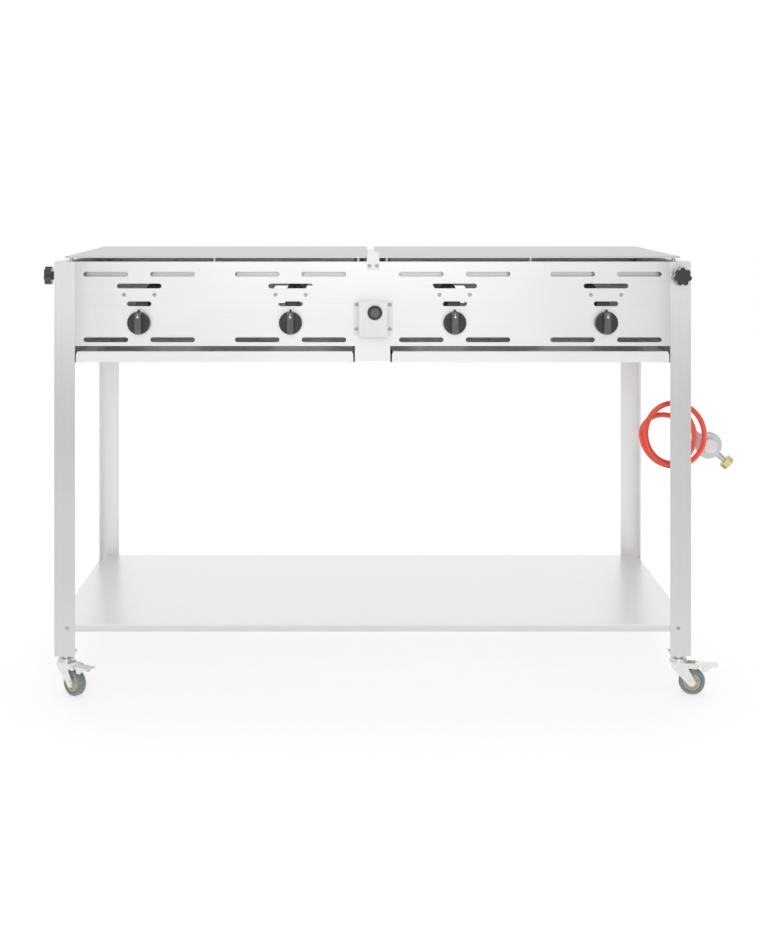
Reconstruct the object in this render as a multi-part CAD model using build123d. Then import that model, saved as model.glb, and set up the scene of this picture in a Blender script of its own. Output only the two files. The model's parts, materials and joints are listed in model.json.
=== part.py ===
from build123d import *
import math
import os

# Gas griddle trolley: four burners in a cabinet on four angle legs, two griddle plates, two drip
# trays, a bottom shelf, four braked castors and a coiled gas hose with its regulator.
# Millimetres. +X to the right seen from the front, +Y to the back, +Z up.
# Origin: on the floor under the middle of the frame.

# ---- overall sizes ----
frame_width = 1230.0
frame_depth = 570.0
leg_top = 838.0

# ---- sheet and angle sections ----
leg_size = 40.0
leg_wall = 2.0
sheet = 1.5
gap = 0.3

# ---- cabinet; a drop is measured down from the legs' tops ----
panel_drop = 163.0
cabinet_drop = 195.5
post_drop = 192.0
post_half = 34.0
top_flange = 20.0
top_lip = 36.0
side_flange = 38.0
divider_flange = 35.0
runner_ledge = 15.0
runner_rise = 12.0
vent_length = 120.0
vent_rises = (0.0, 30.0)

# ---- burners, knobs and slots ----
burner_inner_edge = 124.5
burner_outer_edge = 124.0
knob_drop = 118.0
slot_width = 9.4
long_slot = 86.0
short_slot = 47.0
slot_offset = 64.5
top_slot_drop = 24.3
upper_slot_drop = 47.0
lower_slot_drop = 81.5
bottom_slot_rise = 12.0
burner_screw_drop = 64.0
burner_screw_offset = 29.4
stem_radius = 4.0
running = 0.05
knob_radius = 22.0
knob_skirt = 8.0
knob_depth = 21.0
knob_gap = 4.0
manifold_radius = 10.0
manifold_bore = 8.0
manifold_below_knobs = 18.0
manifold_y_inset = 35.0
valve_half = 11.0
valve_depth = 15.0
valve_crown = 11.0
jet_length = 10.0
tube_radius = 12.0
tube_bore = 10.5
tube_start = 34.0
tube_bends = (100.0, 155.0)
tube_end = 220.0
head_start = 200.0
head_radius = 18.0
head_rise = 45.0
head_end_gap = 46.5
port_radius = 1.6
port_pitch = 24.0
electrode_offset = 24.0
bracket_half = 8.0

# ---- griddle plates ----
plate_inner = 8.0
plate_outer_inset = 19.0
plate_back_gap = 85.0
plate_thickness = 3.0
plate_lift = 7.0
plate_front_inset = 5.0
plate_foot_radius = 3.6
plate_foot_insets = (19.6, 12.5)
plate_middle_foot = 4.5

# ---- drip trays ----
tray_inner_gap = 3.5
tray_outer_gap = 2.5
tray_height = 21.0
tray_rim = 9.0
tray_proud = 2.0
tray_sheet = 1.2
tray_corner = 6.0
tray_back_gap = 10.0

# ---- shelf ----
shelf_top = 137.0
shelf_lip = 14.0
shelf_screw_height = 130.0
shelf_screw_inset = 25.0

# ---- fasteners ----
screw_radius = 1.95
screw_hole = 2.1
screw_head_radius = 3.7
screw_head_height = 2.2
screw_length = 7.0

# ---- star knobs ----
star_drop = 28.0
star_radius = 17.8
star_head = 14.0
star_hub = 7.0
star_hub_radius = 8.3
star_stud_radius = 3.0
star_lobes = 7

# ---- igniter ----
igniter_x = 1.0
igniter_half = 27.25
igniter_flange = 10.5
igniter_drop = 76.0
igniter_height = 67.0
igniter_depth = 30.5
igniter_slope = 4.0
igniter_button_x = 4.0
igniter_button_drop = 20.0
igniter_collar_radius = 14.2
igniter_button_radius = 9.0
igniter_barrel_radius = 11.0
igniter_screw_rise = 13.0
igniter_screw_drop = 7.0
clip_drop = 16.0
clip_height = 36.0
clip_half = 12.0
clip_screw_offset = 7.5
clip_screw_rise = 8.0

# ---- castors ----
wheel_radius = 25.0
wheel_width = 19.0
castor_trail = 25.0
castor_rise = 26.0
castor_stem_radius = 5.0
castor_inset = 20.0
fork_drop = 15.7
fork_plate = 3.0
fork_race = 6.0
fork_radius = 18.0
front_left_yaw = -40.0
front_right_yaw = -16.0

# ---- gas hose ----
hose_diameter = 10.5
hose_bore = 6.3
inlet_inset = 21.0
inlet_drop = 62.0
inlet_step = 10.0
spigot_length = 17.0
drop_points = [(594, -240, 612), (598, -236, 590), (605, -231, 570), (613, -226, 551)]
tail_points = [(541, -199, 513), (555, -195, 525), (573, -190, 529), (592, -185, 527), (608, -181, 521)]
coil_start_turn = -0.125
coil_turns = 1.625
coil_steps = 20
coil_centre = (589.0, -222.0, 494.0)
coil_centre_drift = 8.0
coil_pitch = 12.5
coil_radii = (47.0, 57.0)
coil_growth = (15.0, 8.0)
coil_ring_centre = (594.5, 493.0)
coil_ring_radii = (68.0, 71.0)
coil_hole_radii = (40.0, 54.0)
regulator_centre = (672.0, -178.0, 466.0)
regulator_angle = 43.0

# ---- sizes that follow from those above ----
half_width = frame_width / 2
half_depth = frame_depth / 2
panel_face = half_depth - leg_wall
panel_back = panel_face - sheet
side_face = half_width - leg_wall
side_back = side_face - sheet
bay_end = half_width - leg_size
burner_near = post_half + burner_inner_edge
burner_far = bay_end - burner_outer_edge
burner_x = (-burner_far, -burner_near, burner_near, burner_far)
manifold_y = -(half_depth - manifold_y_inset)
knob_back = -(panel_face + knob_gap)
castor_height = 2 * wheel_radius + castor_rise
panel_bottom = leg_top - panel_drop
cabinet_bottom = leg_top - cabinet_drop
post_bottom = leg_top - post_drop
knob_height = leg_top - knob_drop
top_slot_height = leg_top - top_slot_drop
upper_slot_height = leg_top - upper_slot_drop
lower_slot_height = leg_top - lower_slot_drop
bottom_slot_height = panel_bottom + bottom_slot_rise
burner_screw_height = leg_top - burner_screw_drop
manifold_height = knob_height - manifold_below_knobs
head_height = knob_height + head_rise
star_height = leg_top - star_drop
igniter_top = leg_top - igniter_drop
igniter_bottom = igniter_top - igniter_height
igniter_button_height = igniter_top - igniter_button_drop
igniter_screw_heights = (igniter_bottom + igniter_screw_rise, igniter_top - igniter_screw_drop)
clip_bottom = leg_top - clip_drop
plate_outer = half_width - plate_outer_inset
plate_depth = frame_depth - plate_front_inset - plate_back_gap
plate_foot_x = (
    plate_inner + plate_foot_insets[0],
    (plate_inner + plate_outer) / 2 + plate_middle_foot,
    plate_outer - plate_foot_insets[1],
)
tray_inner = post_half + tray_inner_gap
tray_outer = bay_end - tray_outer_gap
tray_floor = cabinet_bottom + sheet
inlet_x = half_width - inlet_inset
inlet_end = manifold_height - inlet_drop
fork_bottom = castor_height - fork_drop
pedal_pivot = (castor_trail + 8.0, castor_height - 20.0)
corners = {
    "front_left": (-1, -1),
    "front_right": (1, -1),
    "rear_left": (-1, 1),
    "rear_right": (1, 1),
}
# The star knobs sit on the side face of two legs and on the front or rear face of the other two.
star_on_side = {"front_left": True, "front_right": False, "rear_left": False, "rear_right": True}
castor_yaw = {
    "front_left": front_left_yaw,
    "front_right": front_right_yaw,
    "rear_left": front_right_yaw + 180.0,
    "rear_right": front_left_yaw + 180.0,
}


# ---- small helpers ----
def block(x_range, y_range, z_range):
    """A box between pairs of limits, given in either order."""
    limits = [sorted(pair) for pair in (x_range, y_range, z_range)]
    sizes = [high - low for low, high in limits]
    middle = [(high + low) / 2 for low, high in limits]
    return Pos(*middle) * Box(*sizes)


def rod(start, end, radius):
    """A round bar from one point to another."""
    direction = Vector(*end) - Vector(*start)
    plane = Plane(origin=start, z_dir=direction)
    return extrude(plane * Circle(radius), amount=direction.length)


def front_plane(y, x=0.0, z=0.0):
    """A plane that faces the front: its own x is +X and its own y is +Z."""
    return Plane(origin=(x, y, z), x_dir=(1, 0, 0), z_dir=(0, -1, 0))


def side_plane(x, y=0.0, z=0.0):
    """A plane that faces +X: its own x is +Y and its own y is +Z."""
    return Plane(origin=(x, y, z), x_dir=(0, 1, 0), z_dir=(1, 0, 0))


def group(solids):
    """Separate solids that share one node."""
    return Compound(children=[piece for shape in solids for piece in shape.solids()])


def joined(pieces):
    """One solid from pieces that touch or overlap."""
    whole = pieces[0]
    for piece in pieces[1:]:
        whole = whole + piece
    return whole


def cut_all(solid, tools):
    """The solid with every tool taken away."""
    for tool in tools:
        solid = solid - tool
    return solid


# ---- fasteners ----
def screw(point, inward):
    """A pan-head screw; point is on the outer face, inward is the way it goes in."""
    direction = Vector(*inward)
    start = Vector(*point)
    plane = Plane(origin=start, z_dir=direction * -1)
    head = extrude(plane * Circle(screw_head_radius), amount=screw_head_height)
    rims = head.edges().filter_by(GeomType.CIRCLE)
    top_edge = rims.sort_by(lambda edge: (edge.center() - start).length)[-1]
    head = fillet(top_edge, screw_head_height * 0.6)
    recess = plane.offset(screw_head_height) * (Rectangle(0.8, 3.8) + Rectangle(3.8, 0.8))
    head = head - extrude(recess, amount=-1.2)
    shank = rod(tuple(start), tuple(start + direction * screw_length), screw_radius)
    return head + shank


def screw_bore(point, inward):
    """The hole that a screw passes through."""
    direction = Vector(*inward)
    start = Vector(*point)
    return rod(tuple(start - direction * 2), tuple(start + direction * (screw_length + 2)), screw_hole)


def burner_screw_places():
    face = -panel_face
    return [
        ((x + side * burner_screw_offset, face, burner_screw_height), (0, 1, 0))
        for x in burner_x
        for side in (-1, 1)
    ]


def igniter_screw_places():
    face = -panel_face - sheet
    reach = igniter_half + igniter_flange / 2
    return [
        ((igniter_x + side * reach, face, height), (0, 1, 0))
        for side in (-1, 1)
        for height in igniter_screw_heights
    ]


def clip_screw_places():
    height = clip_bottom + clip_screw_rise
    return [
        ((igniter_x + side * clip_screw_offset, -panel_face - sheet, height), (0, 1, 0)) for side in (-1, 1)
    ]


def shelf_screw_places():
    """Two screws at each leg: one through each flange into the shelf's lip."""
    places = []
    for side_x, side_y in corners.values():
        on_front = (side_x * (half_width - shelf_screw_inset), side_y * half_depth, shelf_screw_height)
        on_side = (side_x * half_width, side_y * (half_depth - shelf_screw_inset), shelf_screw_height)
        places.append((on_front, (0, -side_y, 0)))
        places.append((on_side, (-side_x, 0, 0)))
    return places


def pan_head_screws():
    places = burner_screw_places() + igniter_screw_places() + clip_screw_places() + shelf_screw_places()
    return group([screw(point, inward) for point, inward in places])


# ---- legs and star knobs ----
def star_axis(name):
    """The point on the leg's outer face where the star knob's stud goes in, and its outward way."""
    side_x, side_y = corners[name]
    inset = leg_size / 2
    if star_on_side[name]:
        return (side_x * half_width, side_y * (half_depth - inset), star_height), (side_x, 0, 0)
    return (side_x * (half_width - inset), side_y * half_depth, star_height), (0, side_y, 0)


def flange_outline(width, height):
    """A flange seen square on: its free edge is at -x, with both free corners rounded."""
    outline = Pos(-width / 2, height / 2) * Rectangle(width, height)
    free = outline.vertices().sort_by(Axis.X)[:2].sort_by(Axis.Y)
    outline = fillet(free[0], 6.0)
    top = outline.vertices().sort_by(Axis.Y)[-2:].sort_by(Axis.X)[0]
    return fillet(top, 2.5)


def leg(name):
    """An L of 40 mm angle with a welded foot plate for the castor's stem."""
    side_x, side_y = corners[name]
    height = leg_top - castor_height
    outline = flange_outline(leg_size, height)
    if side_x < 0:
        outline = mirror(outline, Plane.YZ)
    face = front_plane(side_y * half_depth, side_x * half_width, castor_height)
    front_flange = extrude(face * outline, amount=leg_wall * side_y)
    outline = flange_outline(leg_size, height)
    if side_y < 0:
        outline = mirror(outline, Plane.YZ)
    face = side_plane(side_x * half_width, side_y * half_depth, castor_height)
    side_flange_solid = extrude(face * outline, amount=-leg_wall * side_x)
    inner_x = half_width - leg_wall
    inner_y = half_depth - leg_wall
    foot = block(
        (side_x * inner_x, side_x * (inner_x - 36)),
        (side_y * inner_y, side_y * (inner_y - 36)),
        (castor_height, castor_height + 3),
    )
    stem_x = side_x * (half_width - castor_inset)
    stem_y = side_y * (half_depth - castor_inset)
    stem_hole = rod(
        (stem_x, stem_y, castor_height - 1), (stem_x, stem_y, castor_height + 4), castor_stem_radius
    )
    point, outward = star_axis(name)
    start = Vector(*point)
    way = Vector(*outward)
    stud_hole = rod(tuple(start + way * 5), tuple(start - way * 5), star_stud_radius + gap)
    bores = [screw_bore(p, d) for p, d in shelf_screw_places()]
    return cut_all(front_flange + side_flange_solid + foot, [stem_hole, stud_hole] + bores)


def star_knob(name):
    """A lobed knob with its hub and moulded-in stud."""
    point, outward = star_axis(name)
    way = Vector(*outward)
    face = Plane(origin=Vector(*point) + way * gap, z_dir=way)
    scallops = PolarLocations(star_radius + 2.2, star_lobes) * Circle(5.2)
    outline = Circle(star_radius) - scallops
    outline = fillet(outline.vertices(), 1.6)
    head = extrude(face.offset(star_hub) * outline, amount=star_head - gap)
    top = star_hub + star_head - gap
    rims = head.edges().filter_by(lambda edge: abs((edge.center() - face.origin).dot(way) - top) < 0.01)
    head = fillet(rims, 1.2)
    dimple = extrude(face.offset(top) * Circle(8.0), amount=-1.0)
    hub = extrude(face * Circle(star_hub_radius), amount=star_hub)
    stud = extrude(face.offset(star_hub - gap) * Circle(star_stud_radius), amount=-(star_hub + 15.0))
    return (head - dimple) + hub + stud


def knob_nuts():
    """Square rivet nuts behind the cabinet's walls, one for each star knob."""
    nuts = []
    for name in corners:
        point, outward = star_axis(name)
        way = Vector(*outward)
        seat = Vector(*point) - way * (leg_wall + sheet)
        face = Plane(origin=seat, z_dir=way)
        nut = extrude(face * (Rectangle(13, 13) - Circle(star_stud_radius + running)), amount=-6.0)
        nuts.append(nut)
    return group(nuts)


def star_bores():
    """Clearance holes for the studs through the cabinet's walls."""
    bores = []
    for name in corners:
        point, outward = star_axis(name)
        start = Vector(*point)
        way = Vector(*outward)
        bores.append(rod(tuple(start), tuple(start - way * 6), star_stud_radius + gap))
    return bores


# ---- cabinet ----
def slot_cut(x, z, length):
    face = front_plane(-panel_face - 2, x, z)
    return extrude(face * SlotOverall(length, slot_width), amount=-6.0)


def panel_slots():
    slots = []
    for x in burner_x:
        for side in (-1, 1):
            slots.append(slot_cut(x + side * slot_offset, top_slot_height, long_slot))
            slots.append(slot_cut(x + side * slot_offset, bottom_slot_height, long_slot))
        slots.append(slot_cut(x, upper_slot_height, long_slot))
        slots.append(slot_cut(x, lower_slot_height, short_slot))
    return slots


def wall_with_top(side_y, bottom):
    """A cabinet wall along X whose top is folded in and down."""
    half = side_back - gap
    wall = block((-half, half), (side_y * panel_face, side_y * panel_back), (bottom, leg_top))
    inner = panel_face - top_flange
    flange = block((-half, half), (side_y * panel_face, side_y * inner), (leg_top - sheet, leg_top))
    lip_half = side_face - 33
    lip = block(
        (-lip_half, lip_half), (side_y * inner, side_y * (inner + sheet)), (leg_top - top_lip, leg_top)
    )
    return wall + flange + lip


def front_panel():
    wall = wall_with_top(-1, panel_bottom)
    post = block((-post_half, post_half), (-panel_face, -panel_back), (post_bottom, panel_bottom + 1))
    wall = wall + post
    stems = [rod((x, -panel_face - 3, knob_height), (x, -panel_back + 3, knob_height), 7.0) for x in burner_x]
    barrel = rod(
        (igniter_button_x, -panel_face - 3, igniter_button_height),
        (igniter_button_x, -panel_back + 3, igniter_button_height),
        12.5,
    )
    places = burner_screw_places() + igniter_screw_places() + clip_screw_places()
    bores = [screw_bore(point, inward) for point, inward in places]
    return cut_all(wall, panel_slots() + stems + [barrel] + bores + star_bores())


def back_panel():
    wall = wall_with_top(1, cabinet_bottom)
    vents = []
    for x in burner_x:
        for rise in vent_rises:
            face = front_plane(panel_back - 3, x, knob_height + rise)
            vents.append(extrude(face * SlotOverall(vent_length, slot_width), amount=-8.0))
    return cut_all(wall, vents + star_bores())


def side_panel(side_x):
    wall = block(
        (side_x * side_face, side_x * side_back), (-panel_back, panel_back), (cabinet_bottom, leg_top)
    )
    reach = panel_face - top_flange - gap
    flange = block(
        (side_x * side_face, side_x * (side_face - side_flange)),
        (-reach, reach),
        (leg_top - sheet, leg_top),
    )
    foot = block(
        (side_x * side_face, side_x * (side_face - 12)),
        (-panel_back, panel_back),
        (cabinet_bottom, cabinet_bottom + sheet),
    )
    return cut_all(wall + flange + foot, star_bores())


def centre_divider():
    reach = panel_face - top_flange - gap
    inner = reach - sheet
    web_bottom = manifold_height + manifold_radius + 6
    web = block((-sheet / 2, sheet / 2), (-inner, inner), (web_bottom, leg_top))
    flange = block((-divider_flange, divider_flange), (-reach, reach), (leg_top - sheet, leg_top))
    return web + flange


def tray_runners():
    """Four L rails between the front and back walls; the trays' floors slide on them."""
    rails = []
    top = panel_bottom + runner_rise
    run = (-panel_back, panel_back)
    for side in (-1, 1):
        for wall, inward in ((bay_end, -1), (post_half, 1)):
            far = wall - inward * sheet
            upright = block((side * wall, side * far), run, (cabinet_bottom, top))
            shelf_edge = wall + inward * runner_ledge
            ledge = block((side * shelf_edge, side * far), run, (cabinet_bottom, tray_floor))
            rails.append(upright + ledge)
    return group(rails)


def centre_clip():
    """A tab on the front wall that keeps the two plates from sliding forward."""
    outline = Pos(0, clip_height / 2) * Rectangle(2 * clip_half, clip_height)
    outline = fillet(outline.vertices().group_by(Axis.Y)[-1], clip_half * 0.75)
    tab = extrude(front_plane(-panel_face, igniter_x, clip_bottom) * outline, amount=sheet)
    return cut_all(tab, [screw_bore(point, inward) for point, inward in clip_screw_places()])


# ---- griddle plates and drip trays ----
def griddle_plate(side):
    front = -(half_depth - plate_front_inset)
    back = front + plate_depth
    bottom = leg_top + plate_lift
    top = bottom + plate_thickness
    plate = block((side * plate_inner, side * plate_outer), (front, back), (bottom, top))
    plate = fillet(plate.edges().filter_by(Axis.Z), 6.0)
    plate = fillet(plate.faces().sort_by(Axis.Z)[-1].edges(), 0.8)
    places = [(x, front + 8) for x in plate_foot_x]
    places += [(x, back - 12) for x in (plate_foot_x[0], plate_foot_x[-1])]
    feet = [rod((side * x, y, leg_top), (side * x, y, bottom + 1), plate_foot_radius) for x, y in places]
    return joined([plate] + feet)


def drip_tray(side):
    front = -(half_depth + tray_proud)
    back = panel_back - tray_back_gap
    top = tray_floor + tray_height
    whole = block((side * tray_inner, side * tray_outer), (front, back), (tray_floor, top))
    corners_front = whole.edges().filter_by(Axis.Y).group_by(Axis.Z)[-1]
    whole = chamfer(corners_front, tray_corner, 3.0)
    inside = block(
        (side * (tray_inner + tray_sheet), side * (tray_outer - tray_sheet)),
        (front + tray_sheet, back - tray_sheet),
        (tray_floor + tray_sheet, top + 5),
    )
    rim = block(
        (side * (tray_inner + tray_corner), side * (tray_outer - tray_corner)),
        (front, front + tray_rim),
        (top - tray_sheet, top),
    )
    return whole - inside + rim


# ---- burners and gas ----
def burner_tube(x):
    """A venturi that rises to a long tube burner with two rows of flame ports."""
    begin = manifold_y + tube_start
    finish = manifold_y + tube_end
    head_end = panel_back - head_end_gap
    path = FilletPolyline(
        (x, begin, knob_height),
        (x, manifold_y + tube_bends[0], knob_height),
        (x, manifold_y + tube_bends[1], head_height),
        (x, finish, head_height),
        radius=35.0,
    )
    neck = sweep(Plane(origin=(x, begin, knob_height), z_dir=(0, 1, 0)) * Circle(tube_radius), path=path)
    head = rod((x, manifold_y + head_start, head_height), (x, head_end, head_height), head_radius)
    tab = block((x - 10, x + 10), (head_end - 5, panel_back), (head_height - 1, head_height + 1))
    mouth = rod((x, begin - 14, knob_height), (x, begin + 16, knob_height), tube_bore)
    ports = []
    for step in range(int((head_end - finish) / port_pitch)):
        y = finish + step * port_pitch
        for side in (-1, 1):
            inner = x + side * (head_radius - 6)
            outer = x + side * (head_radius + 12)
            ports.append(rod((inner, y, head_height), (outer, y, head_height), port_radius))
    return cut_all(neck + head + tab, [mouth] + ports)


def burner_tubes():
    return group([burner_tube(x) for x in burner_x])


def burner_bracket(x):
    """A folded strip that hangs the valve from the front wall."""
    low = burner_screw_height - bracket_half
    high = burner_screw_height + bracket_half
    end = manifold_y + 2
    tab = block((x - 36, x + 36), (-panel_back, -panel_back + sheet), (low, high))
    shelf = block((x - 12, x + 12), (-panel_back, end), (low, low + sheet))
    hanger = block((x - 12, x + 12), (end - sheet, end), (knob_height + valve_crown, low + sheet))
    strip = tab + shelf + hanger
    return cut_all(strip, [screw_bore(point, inward) for point, inward in burner_screw_places()])


def burner_brackets():
    return group([burner_bracket(x) for x in burner_x])


def manifold_tube():
    """The pipe before it's bored, from just past the first valve to just inside the inlet."""
    start = (-burner_far - 25, manifold_y, manifold_height)
    end = (inlet_x - 14, manifold_y, manifold_height)
    return rod(start, end, manifold_radius)


def gas_manifold():
    top = manifold_height + 2 * manifold_radius
    bores = [rod((x, manifold_y, manifold_height), (x, manifold_y, top), 3.0) for x in burner_x]
    start = (-burner_far - 22, manifold_y, manifold_height)
    hollow = rod(start, (inlet_x, manifold_y, manifold_height), manifold_bore)
    return cut_all(manifold_tube(), [hollow] + bores)


def gas_valve(x):
    """A valve block that saddles the manifold, with the jet at its back."""
    front = manifold_y - valve_depth
    back = manifold_y + valve_depth
    jet_end = back + jet_length
    body = block(
        (x - valve_half, x + valve_half), (front, back), (manifold_height + 4, knob_height + valve_crown)
    )
    body = fillet(body.edges().filter_by(Axis.Y).group_by(Axis.Z)[-1], 3.0)
    neck = rod((x, front, knob_height), (x, -panel_back + gap, knob_height), 6.5)
    jet = rod((x, back, knob_height), (x, jet_end, knob_height), 4.5)
    jet_hole = rod((x, manifold_y + 5, knob_height), (x, jet_end + 1, knob_height), 0.6)
    stem_bore = rod(
        (x, -panel_face - 1, knob_height), (x, manifold_y - 1, knob_height), stem_radius + running
    )
    return cut_all(body + neck + jet, [manifold_tube(), jet_hole, stem_bore])


def gas_valves():
    return group([gas_valve(x) for x in burner_x])


def hose_spigot():
    """The part of the inlet that the hose is pushed onto."""
    y = manifold_y + inlet_step
    return rod((inlet_x, y, inlet_end), (inlet_x, y, inlet_end - spigot_length), hose_bore / 2)


def gas_inlet():
    """The elbow on the manifold's end, with the spigot that the hose is pushed onto."""
    x = inlet_x
    y = manifold_y
    hub = block((x - 13, x + 11), (y - 12, y + 12), (manifold_height - 13, manifold_height + 13))
    hub = fillet(hub.edges(), 2.0)
    socket = rod((x - 20, y, manifold_height), (x - 12, y, manifold_height), 13.0)
    drop = rod((x, y, manifold_height), (x, y, inlet_end + 14), 7.5)
    nut = extrude(Plane(origin=(x, y, inlet_end + 6)) * RegularPolygon(10.5, 6), amount=12.0)
    step = rod((x, y, inlet_end + 6), (x, y + inlet_step, inlet_end - 2), 5.0)
    seat = rod((x, y + inlet_step, inlet_end + 4), (x, y + inlet_step, inlet_end - 6), 6.5)
    return cut_all(joined([hub, socket, drop, nut, step, seat, hose_spigot()]), [manifold_tube()])


def valve_stem(x):
    """A round stem with a flat along the part that the knob slides on."""
    tip = knob_back - (knob_depth - 7.5)
    stem = rod((x, manifold_y - 2, knob_height), (x, tip, knob_height), stem_radius)
    flat = block((x - 5, x + 5), (-panel_face, tip - 1), (knob_height + stem_radius - 1.2, knob_height + 6))
    return stem - flat


def burner_knob(x):
    """A round knob with a raised grip bar and a pointer at its top."""
    face = front_plane(knob_back, x, knob_height)
    skirt = extrude(face * Circle(knob_radius), amount=knob_skirt)
    skirt = fillet(skirt.edges().sort_by(Axis.Y)[0], 2.2)
    bar_outline = Rectangle(12.5, 2 * knob_radius) & Circle(knob_radius - 1.0)
    bar = extrude(face.offset(knob_skirt - 1) * bar_outline, amount=knob_depth - knob_skirt + 1)
    bar = fillet(bar.edges().group_by(Axis.Y)[0], 2.0)
    pointer = extrude(face * (Pos(0, knob_radius + 0.5) * Rectangle(3.6, 6.5)), amount=4.0)
    bore_face = face.offset(-1)
    round_bore = extrude(bore_face * Circle(stem_radius + running), amount=knob_depth - 3.5 + 1)
    flat_keep = block(
        (x - 6, x + 6),
        (knob_back + 2, knob_back - knob_depth),
        (knob_height + stem_radius - 1.2 + running, knob_height + 8),
    )
    return skirt + bar + pointer - (round_bore - flat_keep)


def ignition_electrodes():
    """A ceramic-bodied spark pin beside each burner, held on the bracket's shelf level."""
    pins = []
    y = manifold_y + head_start + 15
    across = (y - 3, y + 3)
    for x in burner_x:
        at = x + electrode_offset
        body = rod((at, y, head_height - 40), (at, y, head_height - 5), 3.5)
        pin = rod((at, y, head_height - 5), (at, y, head_height + 5), 1.0)
        ear = block((x + 8, at + 2), across, (head_height - 25, head_height - 25 + sheet))
        strut = block((x + 8, x + 8 + sheet), across, (head_height - 25, head_height - 16.2))
        pins.append(joined([body, pin, ear, strut]))
    return group(pins)


# ---- igniter ----
def igniter_bracket():
    """A hat section whose roof slopes up to the panel."""
    front = -(panel_face + igniter_depth)
    outline = Polyline(
        (-panel_face, igniter_bottom),
        (-panel_face, igniter_top + igniter_slope),
        (front, igniter_top),
        (front, igniter_bottom),
        close=True,
    )
    left = igniter_x - igniter_half
    section = Plane(origin=(left, 0, 0), x_dir=(0, 1, 0), z_dir=(1, 0, 0)) * make_face(outline)
    hat = extrude(section, amount=2 * igniter_half)
    inside = Polyline(
        (-panel_face + 1, igniter_bottom - 1),
        (-panel_face + 1, igniter_top + igniter_slope - sheet),
        (front + sheet, igniter_top - sheet),
        (front + sheet, igniter_bottom - 1),
        close=True,
    )
    section = Plane(origin=(left + sheet, 0, 0), x_dir=(0, 1, 0), z_dir=(1, 0, 0)) * make_face(inside)
    hat = hat - extrude(section, amount=2 * (igniter_half - sheet))
    for side in (-1, 1):
        start = igniter_x + side * (igniter_half - sheet)
        end = igniter_x + side * (igniter_half + igniter_flange)
        hat = hat + block((start, end), (-panel_face, -panel_face - sheet), (igniter_bottom, igniter_top - 1))
    barrel = rod(
        (igniter_button_x, front - 2, igniter_button_height),
        (igniter_button_x, front + 4, igniter_button_height),
        igniter_barrel_radius + gap,
    )
    bores = [screw_bore(point, inward) for point, inward in igniter_screw_places()]
    return cut_all(hat, [barrel] + bores)


def igniter_body():
    """The piezo barrel behind the bracket and the collar round the button."""
    x = igniter_button_x
    z = igniter_button_height
    front = -(panel_face + igniter_depth)
    collar = rod((x, front, z), (x, front - 6, z), igniter_collar_radius)
    collar = fillet(collar.edges().sort_by(Axis.Y)[0], 1.6)
    barrel = rod((x, front, z), (x, front + 52, z), igniter_barrel_radius)
    well = rod((x, front - 7, z), (x, front + 12, z), igniter_button_radius + gap)
    return collar + barrel - well


def igniter_button():
    x = igniter_button_x
    z = igniter_button_height
    front = -(panel_face + igniter_depth)
    cap = rod((x, front - 10, z), (x, front + 6, z), igniter_button_radius)
    return fillet(cap.edges().sort_by(Axis.Y)[0], 1.5)


# ---- shelf ----
def bottom_shelf():
    half_x = side_face
    half_y = panel_face
    top = block((-half_x, half_x), (-half_y, half_y), (shelf_top - shelf_lip, shelf_top))
    hollow = block(
        (-half_x + sheet, half_x - sheet),
        (-half_y + sheet, half_y - sheet),
        (shelf_top - shelf_lip - 1, shelf_top - sheet),
    )
    return cut_all(top - hollow, [screw_bore(point, inward) for point, inward in shelf_screw_places()])


# ---- castors, built with the stem's axis at the origin and the wheel trailing to +X ----
cheek_inner = wheel_width / 2 + 1.4
cheek = 2.0
axle_radius = 3.0
pin_radius = 2.0


def place_castor(name, solid):
    side_x, side_y = corners[name]
    x = side_x * (half_width - castor_inset)
    y = side_y * (half_depth - castor_inset)
    return Pos(x, y, 0) * Rot(0, 0, castor_yaw[name]) * solid


def castor_stem(name):
    """The threaded stem with its nut above the foot plate and its rivet head under the fork."""
    race_top = fork_bottom + fork_plate + fork_race
    shank = rod((0, 0, fork_bottom - gap), (0, 0, castor_height + 16), castor_stem_radius)
    collar = rod((0, 0, race_top + gap), (0, 0, castor_height), 9.0)
    head = rod((0, 0, fork_bottom - gap - 3.2), (0, 0, fork_bottom - gap), 8.0)
    nut = extrude(Plane(origin=(0, 0, castor_height + 3)) * RegularPolygon(9.2, 6), amount=7.0)
    return place_castor(name, joined([shank, collar, head, nut]))


def castor_stems():
    return group([castor_stem(name) for name in corners])


def cheek_outline():
    """The side of the fork: broad under the head, round about the axle."""
    axle = Pos(castor_trail, wheel_radius) * Circle(8.0)
    pivot = Pos(*pedal_pivot) * Circle(5.0)
    blade = make_hull((axle + Pos(0, fork_bottom - 3.3) * Rectangle(26, 10)).edges())
    arm = make_hull((pivot + Pos(4, fork_bottom - 3.3) * Rectangle(16, 8)).edges())
    return blade + arm


def cross_pin(centre, reach, radius):
    """A bar across the fork through a point given by its trail and its height."""
    x, z = centre
    return rod((x, -reach, z), (x, reach, z), radius)


def riveted_pin(centre, radius, head_radius, head_height):
    """A pin across the fork with a round head outside each cheek."""
    x, z = centre
    outer = cheek_inner + cheek
    pin = cross_pin(centre, outer + head_height, radius)
    for side in (-1, 1):
        pin = pin + rod((x, side * outer, z), (x, side * (outer + head_height), z), head_radius)
    return pin


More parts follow.
